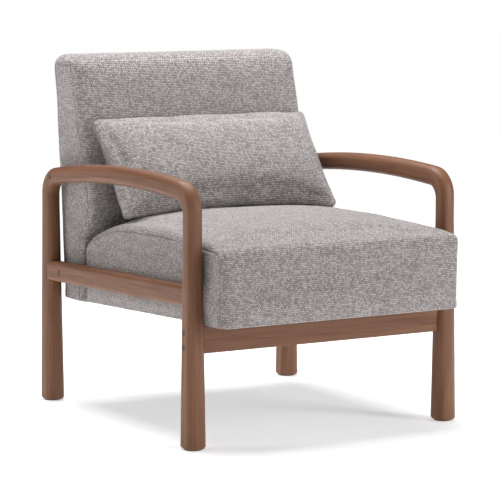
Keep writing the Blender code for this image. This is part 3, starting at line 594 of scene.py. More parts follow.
def set_grain(piece, along, across, shift):
    """Stores where the grain runs, (x, across, along), shifted so that no two pieces match."""
    places = points_of(piece)
    values = np.stack((places[:, 0], places[:, across], places[:, along]), axis=1) + shift
    store_grain(piece, values)


def store_grain(piece, values):
    layer = piece.data.attributes.new("grain_place", "FLOAT_VECTOR", "POINT")
    layer.data.foreach_set("vector", np.asarray(values, dtype=np.float32).ravel())


# ---------------------------------------------------------------------------- wooden frame


def new_section(name, place, width, depth, corner):
    """A flat rounded rectangle, the start of a leg or an arm, left in edit mode."""
    put_down()
    bpy.ops.mesh.primitive_plane_add(size=1.0, location=place)
    piece = name_piece(name)
    bpy.ops.object.mode_set(mode="EDIT")
    bpy.ops.transform.resize(value=(width, depth, 1.0), center_override=place)
    bpy.ops.mesh.bevel(offset=corner, segments=7, affect="VERTICES")
    return piece


def leg_half_width(z):
    wood = bpy.context.scene.armchair_frame
    return (wood.foot_width + (wood.neck_width - wood.foot_width) * z / LEG_TOP) / 2.0


def build_leg(name, x, y):
    """One leg, drawn down from its neck and widening to a bevelled foot."""
    wood = bpy.context.scene.armchair_frame
    top = Vector((x, y, LEG_TOP))
    leg = new_section(name, top, wood.neck_width, wood.neck_depth, wood.corner)
    drop = LEG_TOP - LEG_FOOT - FOOT_BEVEL
    bpy.ops.mesh.extrude_region_move(TRANSFORM_OT_translate={"value": (0.0, 0.0, -drop)})
    foot = Vector((x, y, LEG_FOOT + FOOT_BEVEL))
    spread = (wood.foot_width / wood.neck_width, wood.foot_depth / wood.neck_depth, 1.0)
    bpy.ops.transform.resize(value=spread, center_override=foot)
    bpy.ops.mesh.extrude_region_move(TRANSFORM_OT_translate={"value": (0.0, 0.0, -FOOT_BEVEL)})
    sole = Vector((x, y, LEG_FOOT))
    bpy.ops.transform.resize(value=(0.90, 0.91, 1.0), center_override=sole)
    return close_up(leg)


def arm_angles():
    """Corner centres and arch angles of the arm's centre line."""
    bend = bpy.context.scene.armchair_frame.arm_bend
    corners = {}
    for row, inward in (("front", 1.0), ("rear", -1.0)):
        y = LEG_Y[row] + inward * bend
        rise = math.sqrt((ARCH_RADIUS - bend) ** 2 - (y - ARCH_CENTRE[0]) ** 2)
        corners[row] = (y, ARCH_CENTRE[1] + rise, math.atan2(rise, y - ARCH_CENTRE[0]))
    return corners


def arm_place(y, z):
    """(distance along the arm, distance out from its centre line, direction of its outer side)."""
    bend = bpy.context.scene.armchair_frame.arm_bend
    corners = arm_angles()
    front_y, front_z, front_turn = corners["front"]
    rear_y, rear_z, rear_turn = corners["rear"]
    rise = front_z - LEG_TOP
    first_bend = rise + bend * (math.pi - front_turn)
    arch = first_bend + ARCH_RADIUS * (front_turn - rear_turn)
    around = math.atan2(z - ARCH_CENTRE[1], y - ARCH_CENTRE[0])
    if around > front_turn:
        if z < front_z:
            return z - LEG_TOP, LEG_Y["front"] - y, math.pi
        turn = math.atan2(z - front_z, y - front_y)
        return rise + bend * (math.pi - turn), math.hypot(y - front_y, z - front_z) - bend, turn
    if around < rear_turn:
        if z < rear_z:
            return arch + bend * rear_turn + rear_z - z, y - LEG_Y["rear"], 0.0
        turn = math.atan2(z - rear_z, y - rear_y)
        return arch + bend * (rear_turn - turn), math.hypot(y - rear_y, z - rear_z) - bend, turn
    reach = math.hypot(y - ARCH_CENTRE[0], z - ARCH_CENTRE[1])
    return first_bend + ARCH_RADIUS * (front_turn - around), reach - ARCH_RADIUS, around


def build_arm(name, x):
    """The arm rest: up from the front leg, round the corner, along the arch and down to the rear leg."""
    wood = bpy.context.scene.armchair_frame
    corners = arm_angles()
    front_y, front_z, front_turn = corners["front"]
    rear_y, rear_z, rear_turn = corners["rear"]
    start = Vector((x, LEG_Y["front"], LEG_TOP))
    arm = new_section(name, start, wood.neck_width, wood.neck_depth, wood.corner)
    bpy.ops.mesh.extrude_region_move(TRANSFORM_OT_translate={"value": (0.0, 0.0, front_z - LEG_TOP)})
    turns = (
        (12, math.pi - front_turn, (x, front_y, front_z)),
        (20, front_turn - rear_turn, (x, *ARCH_CENTRE)),
        (12, rear_turn, (x, rear_y, rear_z)),
    )
    for steps, angle, centre in turns:
        bpy.ops.mesh.spin(steps=steps, angle=angle, center=centre, axis=(1.0, 0.0, 0.0))
    bpy.ops.mesh.extrude_region_move(TRANSFORM_OT_translate={"value": (0.0, 0.0, LEG_TOP - rear_z)})
    close_up(arm)
    swell_arm(arm, x)
    return arm


def set_bent_grain(piece, x):
    """Stores the grain of a leg or an arm, which runs on from one leg through the arm to the other."""
    places = points_of(piece)
    grain = np.empty_like(places)
    for k, (px, y, z) in enumerate(places):
        along, out, _ = arm_place(y, z)
        grain[k] = (px + 2.0 * x, out, along + 0.37 * x)
    store_grain(piece, grain)


def swell_arm(arm, x):
    """Widens the arch to the arm's own section, thicker at the front."""
    wood = bpy.context.scene.armchair_frame
    places = points_of(arm)
    for k, (px, y, z) in enumerate(places):
        _, out, turn = arm_place(y, z)
        level = math.sin(turn)
        part = (y - LEG_Y["front"]) / (LEG_Y["rear"] - LEG_Y["front"])
        height = wood.arm_front + (wood.arm_rear - wood.arm_front) * part
        grow = (height / wood.neck_depth - 1.0) * level
        wide = (wood.arm_width / wood.neck_width - 1.0) * level
        places[k] = (
            px + (px - x) * wide,
            y + out * grow * math.cos(turn),
            z + out * grow * level,
        )
    move_points(arm, places)


def rail_z(y):
    return RAIL_FRONT_Z - RAIL_FALL * (y - LEG_Y["front"])


def build_rail(name, side):
    """A side rail with rounded edges, flared where it runs into each leg."""
    wood = bpy.context.scene.armchair_frame
    middle_y = (LEG_Y["front"] + LEG_Y["rear"]) / 2.0
    middle = Vector((side * (RAIL_OUTER_X - wood.rail_thickness / 2.0), middle_y, 0.0))
    half = Vector((wood.rail_thickness / 2.0, (LEG_Y["rear"] - LEG_Y["front"]) / 2.0, wood.rail_height / 2.0))
    rail = new_block(name, middle - half, middle + half)
    flare = wood.rail_flare
    faces = (LEG_Y["front"] + LEG_FACE, LEG_Y["rear"] - LEG_FACE)
    stations = [(y, way, flare * k / 7.0) for y, way in zip(faces, (1.0, -1.0)) for k in range(8)]
    cut_across(1, [y + way * reach - middle_y for y, way, reach in stations])
    for y, way, reach in stations:
        ring_y = y + way * reach - middle_y
        rise = flare - math.sqrt(flare**2 - (flare - reach) ** 2)
        grow = 1.0 + rise / half.z
        pick(rail, "VERT", lambda v, at=ring_y: abs(v.co.y - at) < 1e-5)
        bpy.ops.transform.resize(value=(1.0, 1.0, grow), center_override=(middle.x, ring_y + middle_y, 0.0))
    pick(rail, "EDGE", lambda e: abs(e.verts[0].co.y - e.verts[1].co.y) > 1e-5)
    bpy.ops.mesh.bevel(offset=RAIL_EDGE, segments=5, affect="EDGES", clamp_overlap=True)
    bpy.ops.object.mode_set(mode="OBJECT")
    rail.location.z = rail_z(middle_y)
    rail.rotation_euler.x = -math.atan(RAIL_FALL)
    return close_up(rail)


def build_plug(name, place, side):
    """A wood plug set just below the surface, with a softened rim."""
    wood = bpy.context.scene.armchair_frame
    middle = Vector(place) - Vector((side * (PLUG_DEPTH / 2.0 + PLUG_SUNK), 0.0, 0.0))
    plug = new_disc(name, middle, (0.0, math.pi / 2.0, 0.0), wood.plug_radius - PLUG_GAP, PLUG_DEPTH)
    bpy.ops.object.mode_set(mode="EDIT")
    pick(plug, "FACE", lambda f: len(f.verts) > 4)
    bpy.ops.mesh.inset(thickness=0.0006)
    bpy.ops.mesh.inset(thickness=0.0022)
    bpy.ops.object.mode_set(mode="OBJECT")
    close_up(plug)
    set_grain(plug, 2, 1, 0.11 * side)
    return plug


class ARMCHAIR_OT_legs(bpy.types.Operator):
    """Build the four tapered legs, with holes for the apron's plugs in the front pair"""

    bl_idname = "armchair.legs"
    bl_label = "Legs"

    def execute(self, context):
        wood = context.scene.armchair_frame
        for row in ROWS:
            leg = build_leg(f"leg_{row}_left", -LEG_X, LEG_Y[row])
            if row == "front":
                for z in APRON_PLUG_Z:
                    drill(leg, (-LEG_X - leg_half_width(z), LEG_Y[row], z), wood.plug_radius, PLUG_HOLE)
            close_up(leg)
            even_normals(leg)
            twin = copy_across(leg, f"leg_{row}_right")
            for piece, side, x in ((leg, "left", -LEG_X), (twin, "right", LEG_X)):
                set_bent_grain(piece, x)
                finish_piece(piece, "chair", MATERIALS["walnut"], "walnut", f"{row}_leg_{side}")
        return {"FINISHED"}


class ARMCHAIR_OT_arms(bpy.types.Operator):
    """Build the two bent arm rests"""

    bl_idname = "armchair.arms"
    bl_label = "Arms"

    def execute(self, context):
        wood = context.scene.armchair_frame
        for name, side in SIDES:
            arm = build_arm(f"arm_rest_{name}", side * LEG_X)
            y, z = ARM_PLUG
            drill(arm, (side * (LEG_X + wood.arm_width / 2.0), y, z), wood.plug_radius, PLUG_HOLE)
            close_up(arm)
            even_normals(arm)
            set_bent_grain(arm, side * LEG_X)
            finish_piece(arm, "chair", MATERIALS["walnut"], "walnut", f"arm_{name}")
        return {"FINISHED"}


class ARMCHAIR_OT_rails(bpy.types.Operator):
    """Build the two side rails and the front apron"""

    bl_idname = "armchair.rails"
    bl_label = "Side Rails and Apron"

    def execute(self, context):
        wood = context.scene.armchair_frame
        for name, side in SIDES:
            rail = build_rail(f"rail_{name}", side)
            y, z = RAIL_PLUG
            drill(rail, (side * RAIL_OUTER_X, y, z), wood.plug_radius, PLUG_HOLE)
            close_up(rail)
            even_normals(rail)
            set_grain(rail, 1, 2, 1.7 * side)
            finish_piece(rail, "chair", MATERIALS["walnut"], "walnut", f"side_rail_{name}")
        apron = new_block("apron", APRON_LOW, APRON_HIGH)
        pick(apron, "EDGE", lambda e: abs(e.verts[0].co.x - e.verts[1].co.x) > 0.1)
        bpy.ops.mesh.bevel(offset=0.0030, segments=4, affect="EDGES")
        bpy.ops.object.mode_set(mode="OBJECT")
        close_up(apron)
        even_normals(apron)
        places = points_of(apron)
        store_grain(apron, np.stack((places[:, 1], places[:, 2], places[:, 0]), axis=1) + 2.3)
        finish_piece(apron, "chair", MATERIALS["walnut"], "walnut", "front_apron")
        return {"FINISHED"}


class ARMCHAIR_OT_plugs(bpy.types.Operator):
    """Build the wood plugs over the screws and bolts"""

    bl_idname = "armchair.plugs"
    bl_label = "Plugs"

    def execute(self, context):
        wood = context.scene.armchair_frame
        upper, lower = APRON_PLUG_Z
        spots = (
            ("apron_upper", LEG_X + leg_half_width(upper), LEG_Y["front"], upper),
            ("apron_lower", LEG_X + leg_half_width(lower), LEG_Y["front"], lower),
            ("back_lower", RAIL_OUTER_X, *RAIL_PLUG),
            ("back_upper", LEG_X + wood.arm_width / 2.0, *ARM_PLUG),
        )
        for label, x, y, z in spots:
            for name, side in SIDES:
                plug = build_plug(f"wood_plug_{label}_{name}", (side * x, y, z), side)
                finish_piece(plug, "chair", MATERIALS["end_grain"], "end_grain", f"plug_{label}_{name}")
        return {"FINISHED"}


class ARMCHAIR_OT_glides(bpy.types.Operator):
    """Build the nylon glide under each leg"""

    bl_idname = "armchair.glides"
    bl_label = "Glides"

    def execute(self, context):
        low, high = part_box("glide_front_left")
        radius = (high.x - low.x) / 2.0
        depth = LEG_FOOT
        for name, side in SIDES:
            for row in ROWS:
                place = (side * LEG_X, LEG_Y[row], depth / 2.0)
                glide = new_disc(f"foot_glide_{row}_{name}", place, (0.0, 0.0, 0.0), radius, depth, sides=48)
                bpy.ops.object.mode_set(mode="EDIT")
                pick(glide, "FACE", lambda f: f.normal.z < -0.9)
                bpy.ops.mesh.inset(thickness=0.0012)
                pick(glide, "EDGE", lambda e: e.calc_face_angle(0.0) > 1.2 and e.verts[0].co.z < 0.0)
                bpy.ops.mesh.bevel(offset=0.0010, segments=3, affect="EDGES")
                bpy.ops.object.mode_set(mode="OBJECT")
                close_up(glide)
                finish_piece(glide, "chair", MATERIALS["nylon"], "nylon", f"glide_{row}_{name}")
        return {"FINISHED"}


# ---------------------------------------------------------------------------- upholstery


def remesh(piece, size):
    pick_up(piece)
    bpy.ops.object.transform_apply(location=True, rotation=True, scale=True)
    piece.data.remesh_voxel_size = size
    bpy.ops.object.voxel_remesh()


def inflate(piece, pressure, most, held):
    """Swells the cover by cloth simulation; held are the points that stay, and most caps the movement."""
    start = points_of(piece)
    facing = normals_of(piece)
    group = piece.vertex_groups.new(name="held")
    group.add([int(k) for k in np.flatnonzero(held)], 1.0, "REPLACE")
    pick_up(piece)
    bpy.ops.object.modifier_add(type="CLOTH")
    cloth = piece.modifiers[-1]
    settings = cloth.settings
    settings.quality = 4
    settings.mass = 0.3
    settings.tension_stiffness = 12.0
    settings.compression_stiffness = 12.0
    settings.shear_stiffness = 4.0
    settings.bending_stiffness = 0.4
    settings.use_pressure = True
    settings.uniform_pressure_force = pressure
    settings.effector_weights.gravity = 0.0
    settings.vertex_group_mass = "held"
    for number in range(1, 21):
        bpy.context.scene.frame_set(number)
    bpy.ops.object.modifier_apply(modifier=cloth.name)
    bpy.context.scene.frame_set(1)
    shift = points_of(piece) - start
    sunk = np.minimum(np.einsum("ij,ij->i", shift, facing) + 0.0008, 0.0)
    shift -= facing * sunk[:, None]
    length = np.linalg.norm(shift, axis=1, keepdims=True) + 1e-9
    move_points(piece, start + shift * (most * np.tanh(length / most) / length))
    piece.vertex_groups.clear()


def divide(piece):
    """One level of subdivision, applied."""
    pick_up(piece)
    bpy.ops.object.modifier_add(type="SUBSURF")
    smooth = piece.modifiers[-1]
    smooth.levels = 1
    smooth.render_levels = 1
    bpy.ops.object.modifier_apply(modifier=smooth.name)


def normals_of(piece):
    flat = np.empty(3 * len(piece.data.vertices))
    piece.data.vertices.foreach_get("normal", flat)
    return flat.reshape(-1, 3)


def draw_in(piece, reach, width, depth):
    """Draws the cover in along a sewn line and stores each point's distance from it, which the tweed uses for
    painted shade along the seam.
    """
    sunk = depth * np.exp(-(reach / width) ** 2)
    move_points(piece, points_of(piece) - normals_of(piece) * sunk[:, None])
    layer = piece.data.attributes.new("seam", "FLOAT", "POINT")
    layer.data.foreach_set("value", np.asarray(reach, dtype=np.float32))


def lay_weave(piece):
    """Maps the weave on to the cover in metres, from the side that each face looks to."""
    mesh = piece.data
    places = points_of(piece)
    normals = np.empty(3 * len(mesh.polygons))
    mesh.polygons.foreach_get("normal", normals)
    normals = normals.reshape(-1, 3)
    facing = np.abs(normals).argmax(axis=1)
    totals = np.empty(len(mesh.polygons), dtype=np.int32)
    mesh.polygons.foreach_get("loop_total", totals)
    facing = np.repeat(facing, totals)
    corners = np.empty(len(mesh.loops), dtype=np.int32)
    mesh.loops.foreach_get("vertex_index", corners)
    p = places[corners]
    u = np.where(facing == 0, p[:, 1] + 1.31, p[:, 0])
    v = np.where(facing == 2, p[:, 1] + 2.17, p[:, 2])
    while mesh.uv_layers:
        mesh.uv_layers.remove(mesh.uv_layers[0])
    layer = mesh.uv_layers.new(name="weave")
    layer.data.foreach_set("uv", np.stack((u, v), axis=1).astype(np.float32).ravel())


def ripple(places, size, height, seed):
    """Soft unevenness of stuffed cloth: a sum of a few waves in fixed directions."""
    total = np.zeros(len(places))
    for k in range(6):
        a = seed + 2.4 * k
        way = np.array((math.cos(a) * math.sin(1.3 * a + 0.4), math.sin(a), math.cos(1.7 * a)))
        total += np.sin(places @ way * (2.0 * math.pi / (size * (0.7 + 0.15 * k))) + 1.9 * k * seed)
    return total * height / 3.0


def curve_height(points, at):
    xs = np.array([p[0] for p in points])
    zs = np.array([p[1] for p in points])
    return np.interp(at, xs, zs)


def shape_seat(seat):
    """Gives the seat's block its crown, its waterfall front and its fall to the rear."""
    pad = bpy.context.scene.armchair_padding
    p = points_of(seat)
    low = p[:, 2].min()
    high = p[:, 2].max()
    part = (p[:, 2] - low) / (high - low)
    across = 1.0 - (2.0 * p[:, 0] / pad.seat_width) ** 2
    rise = pad.seat_crown * np.clip(across, 0.0, 1.0) * smooth_step(p[:, 1], -0.392, -0.300)
    top = curve_height(SEAT_TOP, p[:, 1]) + rise
    under = curve_height(SEAT_UNDER, p[:, 1])
    p[:, 2] = under + part * (top - under)
    move_points(seat, p)


def seat_seam(p):
    """Each point's distance from the seam round the side panels."""
    below = curve_height(SEAT_TOP, p[:, 1]) + 0.004 - p[:, 2]
    behind = p[:, 1] + 0.391
    turn = 0.040
    corner = turn - np.hypot(turn - np.minimum(below, turn), turn - np.minimum(behind, turn))
    inset = np.where((below < turn) & (behind < turn), corner, np.minimum(below, behind))
    off_side = np.maximum(SIDE_PANEL_X - np.abs(p[:, 0]), 0.0)
    return np.hypot(inset - SEAM_INSET, off_side)


class ARMCHAIR_OT_seat(bpy.types.Operator):
    """Upholster the seat: a crowned block with side panels, swelled by cloth simulation"""

    bl_idname = "armchair.seat"
    bl_label = "Seat"

    def execute(self, context):
        pad = context.scene.armchair_padding
        half = pad.seat_width / 2.0
        seat = new_block("seat_cushion", (-half, -0.391, 0.258), (half, 0.228, 0.428))
        cut_across(0, (-0.2, 0.0, 0.2))
        pick(seat, "EDGE", lambda e: e.calc_face_angle(0.0) > 1.0 and min(v.co.z for v in e.verts) > 0.08)
        bpy.ops.mesh.bevel(offset=0.018, segments=5, affect="EDGES")
        pick(seat, "EDGE", lambda e: e.calc_face_angle(0.0) > 1.0
             and abs(e.verts[0].co.z - e.verts[1].co.z) > 0.08)
        bpy.ops.mesh.bevel(offset=0.013, segments=4, affect="EDGES")
        bpy.ops.object.mode_set(mode="OBJECT")
        remesh(seat, 0.0075)
        shape_seat(seat)
        p = points_of(seat)
        held = p[:, 2] < curve_height(SEAT_UNDER, p[:, 1]) + 0.012
        inflate(seat, 4.0, pad.seat_swell, held)
        divide(seat)
        p = points_of(seat)
        lift = ripple(p, 0.21, 0.0012, 1.3)
        lift *= smooth_step(p[:, 2], 0.262, 0.30)
        move_points(seat, p + normals_of(seat) * lift[:, None])
        draw_in(seat, seat_seam(points_of(seat)), SEAM_WIDTH, pad.seam_depth)
        close_up(seat, 60.0)
        lay_weave(seat)
        finish_piece(seat, "chair", MATERIALS["tweed"], "tweed", "seat_cover", "seat_foam")
        return {"FINISHED"}


def shape_back(back):
    """Leans the back's block and gives it its wedge shape and its bulge over the seat."""
    p = points_of(back)
    part = (p[:, 1] - p[:, 1].min()) / (p[:, 1].max() - p[:, 1].min())
    front = curve_height(BACK_FRONT, p[:, 2])
    rear = curve_height(BACK_REAR, p[:, 2])
    p[:, 1] = front + part * (rear - front)
    move_points(back, p)


class ARMCHAIR_OT_back(bpy.types.Operator):
    """Upholster the back: a soft wedge with side panels, swelled by cloth simulation"""

    bl_idname = "armchair.back"
    bl_label = "Back"

    def execute(self, context):
        pad = context.scene.armchair_padding
        half = pad.back_width / 2.0
        back = new_block("back_cushion", (-half, 0.24, 0.234), (half, 0.36, 0.785))
        pick(back, "EDGE", lambda e: min(v.co.z for v in e.verts) > 0.2
             and abs(e.verts[0].co.x - e.verts[1].co.x) > 0.2)
        bpy.ops.mesh.bevel(offset=0.034, segments=6, affect="EDGES")
        pick(back, "EDGE", lambda e: e.calc_face_angle(0.0) > 1.0
             and min(v.co.z for v in e.verts) > -0.27 + 0.0001
             or abs(e.verts[0].co.z - e.verts[1].co.z) > 0.2)
        bpy.ops.mesh.bevel(offset=0.020, segments=6, affect="EDGES")
        bpy.ops.object.mode_set(mode="OBJECT")
        remesh(back, 0.0072)
        shape_back(back)
        p = points_of(back)
        inflate(back, 4.0, pad.back_swell, p[:, 2] < 0.250)
        divide(back)
        p = points_of(back)
        lift = ripple(p, 0.19, 0.0010, 2.1) * smooth_step(p[:, 2], 0.24, 0.30)
        move_points(back, p + normals_of(back) * lift[:, None])
        p = points_of(back)
        front = curve_height(BACK_FRONT, p[:, 2])
        rear = curve_height(BACK_REAR, p[:, 2])
        inset = np.minimum(np.minimum(p[:, 1] - front, rear - p[:, 1]), BACK_MIDDLE.z + BACK_SEAM_RISE - p[:, 2])
        off_side = np.maximum(SIDE_PANEL_X - np.abs(p[:, 0]), 0.0)
        draw_in(back, np.hypot(inset - BACK_SEAM_INSET, off_side), SEAM_WIDTH, 0.5 * pad.seam_depth)
        close_up(back, 60.0)
        lay_weave(back)
        finish_piece(back, "chair", MATERIALS["tweed"], "tweed", "back_cover", "back_foam")
        return {"FINISHED"}


def shape_pillow(pillow):
    """Turns a block into two panels that meet in a knife edge, with the underside arched over the seat."""
    pad = bpy.context.scene.armchair_padding
    p = points_of(pillow)
    a = np.abs(p[:, 0]) / (pad.pillow_width / 2.0)
    b = np.abs(p[:, 2]) / (pad.pillow_height / 2.0)
    plump = np.clip(1.0 - a**2.8, 0.0, 1.0) ** 0.55 * np.clip(1.0 - b**2.4, 0.0, 1.0) ** 0.6
    deep = 0.004 + pad.pillow_depth / 2.0 * plump
    p[:, 1] = p[:, 1] / np.abs(p[:, 1]).max() * deep
    arch = 0.018 * (1.0 - np.clip(a, 0.0, 1.0) ** 2)
    p[:, 2] += np.where(p[:, 2] < 0.0, arch * np.minimum(b, 1.0), 0.0)
    pull = 0.006 * (1.0 - np.clip(b, 0.0, 1.0) ** 2) * smooth_step(a, 0.5, 1.0)
    p[:, 0] -= np.sign(p[:, 0]) * pull
    move_points(pillow, p)


class ARMCHAIR_OT_pillow(bpy.types.Operator):
    """Sew and fill the loose pillow: two panels inflated by cloth simulation"""

    bl_idname = "armchair.pillow"
    bl_label = "Pillow"

    def execute(self, context):
        pad = context.scene.armchair_padding
        half_x = pad.pillow_width / 2.0
        half_z = pad.pillow_height / 2.0
        pillow = new_block("pillow", (-half_x, -0.012, -half_z), (half_x, 0.012, half_z))
        pick(pillow, "EDGE", lambda e: abs(e.verts[0].co.y - e.verts[1].co.y) > 0.02)
        bpy.ops.mesh.bevel(offset=0.012, segments=4, affect="EDGES")
        bpy.ops.object.mode_set(mode="OBJECT")
        remesh(pillow, 0.0058)
        shape_pillow(pillow)
        p = points_of(pillow)
        rim = np.abs(p[:, 1]) < 0.0045
        inflate(pillow, 4.0, pad.pillow_swell, rim & (p[:, 2] < -0.5))
        divide(pillow)
        p = points_of(pillow)
        move_points(pillow, p + normals_of(pillow) * ripple(p, 0.10, 0.0012, 0.7)[:, None])
        p = points_of(pillow)
        inside = 0.93 - np.maximum(np.abs(p[:, 0]) / half_x, np.abs(p[:, 2]) / half_z)
        reach = np.hypot(p[:, 1], half_z * np.maximum(inside, 0.0))
        # Depth 0: nothing is drawn in here; the seam round the pillow's edge is only painted shade in the tweed.
        draw_in(pillow, reach, SEAM_WIDTH, 0.0)
        close_up(pillow, 80.0)
        lay_weave(pillow)
        pillow.data.transform(PILLOW_FRAME)
        finish_piece(pillow, "pillow", MATERIALS["tweed"], "tweed", "pillow_cover", "pillow_filling")
        return {"FINISHED"}


def scatter(piece, spots, name):
    """Copies a piece, modelled at the origin, to each spot (place, turn about Z) and joins the copies."""
    copies = []
    for place, turn in spots:
        pick_up(piece)
        bpy.ops.object.duplicate()
        copy = bpy.context.object
        copy.location = place
        copy.rotation_euler.z = turn
        copies.append(copy)
    bpy.data.objects.remove(piece, do_unlink=True)
    put_down()
    for copy in copies:
        copy.select_set(True)
    bpy.context.view_layer.objects.active = copies[0]
    bpy.ops.object.join()
    joined = name_piece(name)
    bpy.ops.object.transform_apply(location=True, rotation=True, scale=True)
    return joined


def make_staple():
    """One staple lying flat: a wire crown with both ends bent up into the cloth."""
    half = STAPLE_WIRE / 2.0
    staple = new_block("staple", (-STAPLE_WIDTH / 2.0, -half, -half), (STAPLE_WIDTH / 2.0, half, half))
    cut_across(0, (STAPLE_WIRE - STAPLE_WIDTH / 2.0, STAPLE_WIDTH / 2.0 - STAPLE_WIRE))
    pick(staple, "FACE", lambda f: f.normal.z > 0.9
         and abs(f.calc_center_median().x) > STAPLE_WIDTH / 2.0 - STAPLE_WIRE)
    bpy.ops.mesh.extrude_region_move(TRANSFORM_OT_translate={"value": (0.0, 0.0, 0.0022)})
    pick(staple, "EDGE", lambda e: e.calc_face_angle(0.0) > 1.0 and max(v.co.z for v in e.verts) < 0.001
         and abs(e.verts[0].co.x - e.verts[1].co.x) < 0.0001 and min(v.co.z for v in e.verts) < 0.0)
    bpy.ops.mesh.bevel(offset=0.0003, segments=2, affect="EDGES")
    bpy.ops.object.mode_set(mode="OBJECT")
    return close_up(staple)


class ARMCHAIR_OT_dust_cloth(bpy.types.Operator):
    """Stretch the dust cloth under the seat, let it sag a little and staple it round its edge"""

    bl_idname = "armchair.dust_cloth"
    bl_label = "Dust Cloth"

    def execute(self, context):
        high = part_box("seat_dust_cloth")[1]
        front = APRON_HIGH[1] + 0.004
        half = Vector((high.x - 0.004, (high.y - 0.006 - front) / 2.0, 0.0))
        middle = Vector((0.0, front + half.y, 0.0))
        put_down()
        bpy.ops.mesh.primitive_grid_add(x_subdivisions=40, y_subdivisions=40, size=2.0, location=middle)
        cloth = name_piece("dust_cloth")
        bpy.ops.object.mode_set(mode="EDIT")
        bpy.ops.transform.resize(value=(half.x, half.y, 1.0), center_override=middle)
        bpy.ops.object.mode_set(mode="OBJECT")
        bpy.ops.object.transform_apply(location=True, rotation=True, scale=True)
        p = points_of(cloth)
        inward = np.clip(1.0 - (p[:, 0] / half.x) ** 2, 0.0, 1.0)
        bowl = inward * np.clip(1.0 - ((p[:, 1] - middle.y) / half.y) ** 2, 0.0, 1.0)
        waves = np.cos(p[:, :2] * 2.0 * math.pi / STAPLE_PITCH)
        pucker = waves[:, 0] + waves[:, 1]
        hang = CLOTH_SAG * bowl**0.7 + 0.0003 * pucker * (1.0 - bowl)
        p[:, 2] = curve_height(SEAT_UNDER, p[:, 1]) - CLOTH_GAP - hang
        move_points(cloth, p)
        bpy.ops.object.modifier_add(type="SOLIDIFY")
        cloth.modifiers[-1].thickness = 0.0006
        cloth.modifiers[-1].offset = 0.0
        bpy.ops.object.modifier_apply(modifier=cloth.modifiers[-1].name)
        close_up(cloth, 50.0)
        finish_piece(cloth, "chair", MATERIALS["dust_cloth"], "dust_cloth", "seat_dust_cloth")
        staples = scatter(make_staple(), self.spots(middle, half), "dust_cloth_staples")
        finish_piece(staples, "chair", MATERIALS["steel"], "steel")
        return {"FINISHED"}

    def spots(self, middle, half):
        """Places of the staples round the cloth's edge."""
        spots = []
        reach = half - Vector((STAPLE_INSET, STAPLE_INSET, 0.0))
        for axis in (0, 1):
            count = int(2.0 * reach[axis] / STAPLE_PITCH)
            for side in (-1.0, 1.0):
                for k in range(count + 1):
                    place = middle.copy()
                    place[axis] += reach[axis] * (2.0 * k / count - 1.0)
                    place[1 - axis] += side * reach[1 - axis]
                    place.z = curve_height(SEAT_UNDER, place.y) - CLOTH_GAP - 0.0016
                    spots.append((place, 0.6 * side + 0.35 * math.sin(7.0 * k + axis)))
        return spots


class ARMCHAIR_OT_zip(bpy.types.Operator):
    """Sew the zip into the pillow's lower edge: tape, teeth, slider and pull"""

    bl_idname = "armchair.zip"
    bl_label = "Pillow Zip"

    def execute(self, context):
        pillow = bpy.data.objects["pillow"]
        half = ZIP_LENGTH / 2.0
        tape = new_block("zip_tape", (-half, -0.0045, -0.0009), (half, 0.0045, 0.0004))
        cut_across(0, np.linspace(-half, half, 40)[1:-1])
        cut_across(1, (-0.0015, 0.0015))
        pick(tape, "EDGE", lambda e: abs(e.verts[0].co.x - e.verts[1].co.x) > 0.001
             and min(abs(v.co.y) for v in e.verts) > 0.004)
        bpy.ops.mesh.bevel(offset=0.0004, segments=2, affect="EDGES")
        bpy.ops.object.mode_set(mode="OBJECT")
        tooth = new_block("tooth", (-0.0008, -0.0018, -0.0013), (0.0008, 0.0018, 0.0))
        pick(tooth, "EDGE", lambda e: max(v.co.z for v in e.verts) < 0.0)
        bpy.ops.mesh.bevel(offset=0.0004, segments=2, affect="EDGES")
        bpy.ops.object.mode_set(mode="OBJECT")
        count = int(ZIP_LENGTH / 0.0030)
        spots = [((0.0030 * (k - count / 2.0), 0.0006 * (-1.0) ** k, -0.0009), 0.0) for k in range(count)]
        teeth = scatter(tooth, spots, "zip_teeth")
        slider = new_block("zip_slider", (0.112, -0.0030, -0.0036), (0.122, 0.0030, -0.0016))
        pick(slider, "FACE", lambda f: f.normal.x < -0.9)
        bpy.ops.mesh.extrude_region_move(TRANSFORM_OT_translate={"value": (-0.004, 0.0, 0.0)})
        bpy.ops.transform.resize(value=(1.0, 0.5, 0.5), center_override=(0.108, 0.0, -0.0026))
        bpy.ops.mesh.extrude_region_move(TRANSFORM_OT_translate={"value": (-0.016, 0.0, 0.0)})
        bpy.ops.transform.resize(value=(1.0, 1.6, 0.8), center_override=(0.092, 0.0, -0.0026))
        bpy.ops.mesh.select_all(action="SELECT")
        bpy.ops.mesh.bevel(offset=0.0005, segments=2, affect="EDGES")
        bpy.ops.object.mode_set(mode="OBJECT")
        for piece in (tape, teeth, slider):
            close_up(piece)
        pillow.data.transform(PILLOW_FRAME.inverted())
        for piece, material in ((tape, "dust_cloth"), (teeth, "nylon"), (slider, "steel")):
            p = points_of(piece)
            p[:, 1] += ZIP_SETBACK
            for point in p:
                hit, place, _, _ = pillow.ray_cast((point[0], point[1], -0.5), (0.0, 0.0, 1.0))
                if not hit:
                    raise RuntimeError("the zip has come off the pillow")
                point[2] += place.z
            move_points(piece, p)
            piece.data.transform(PILLOW_FRAME)
            finish_piece(piece, "pillow", MATERIALS[material], material)
        pillow.data.transform(PILLOW_FRAME)
        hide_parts("pillow_zip")
        return {"FINISHED"}


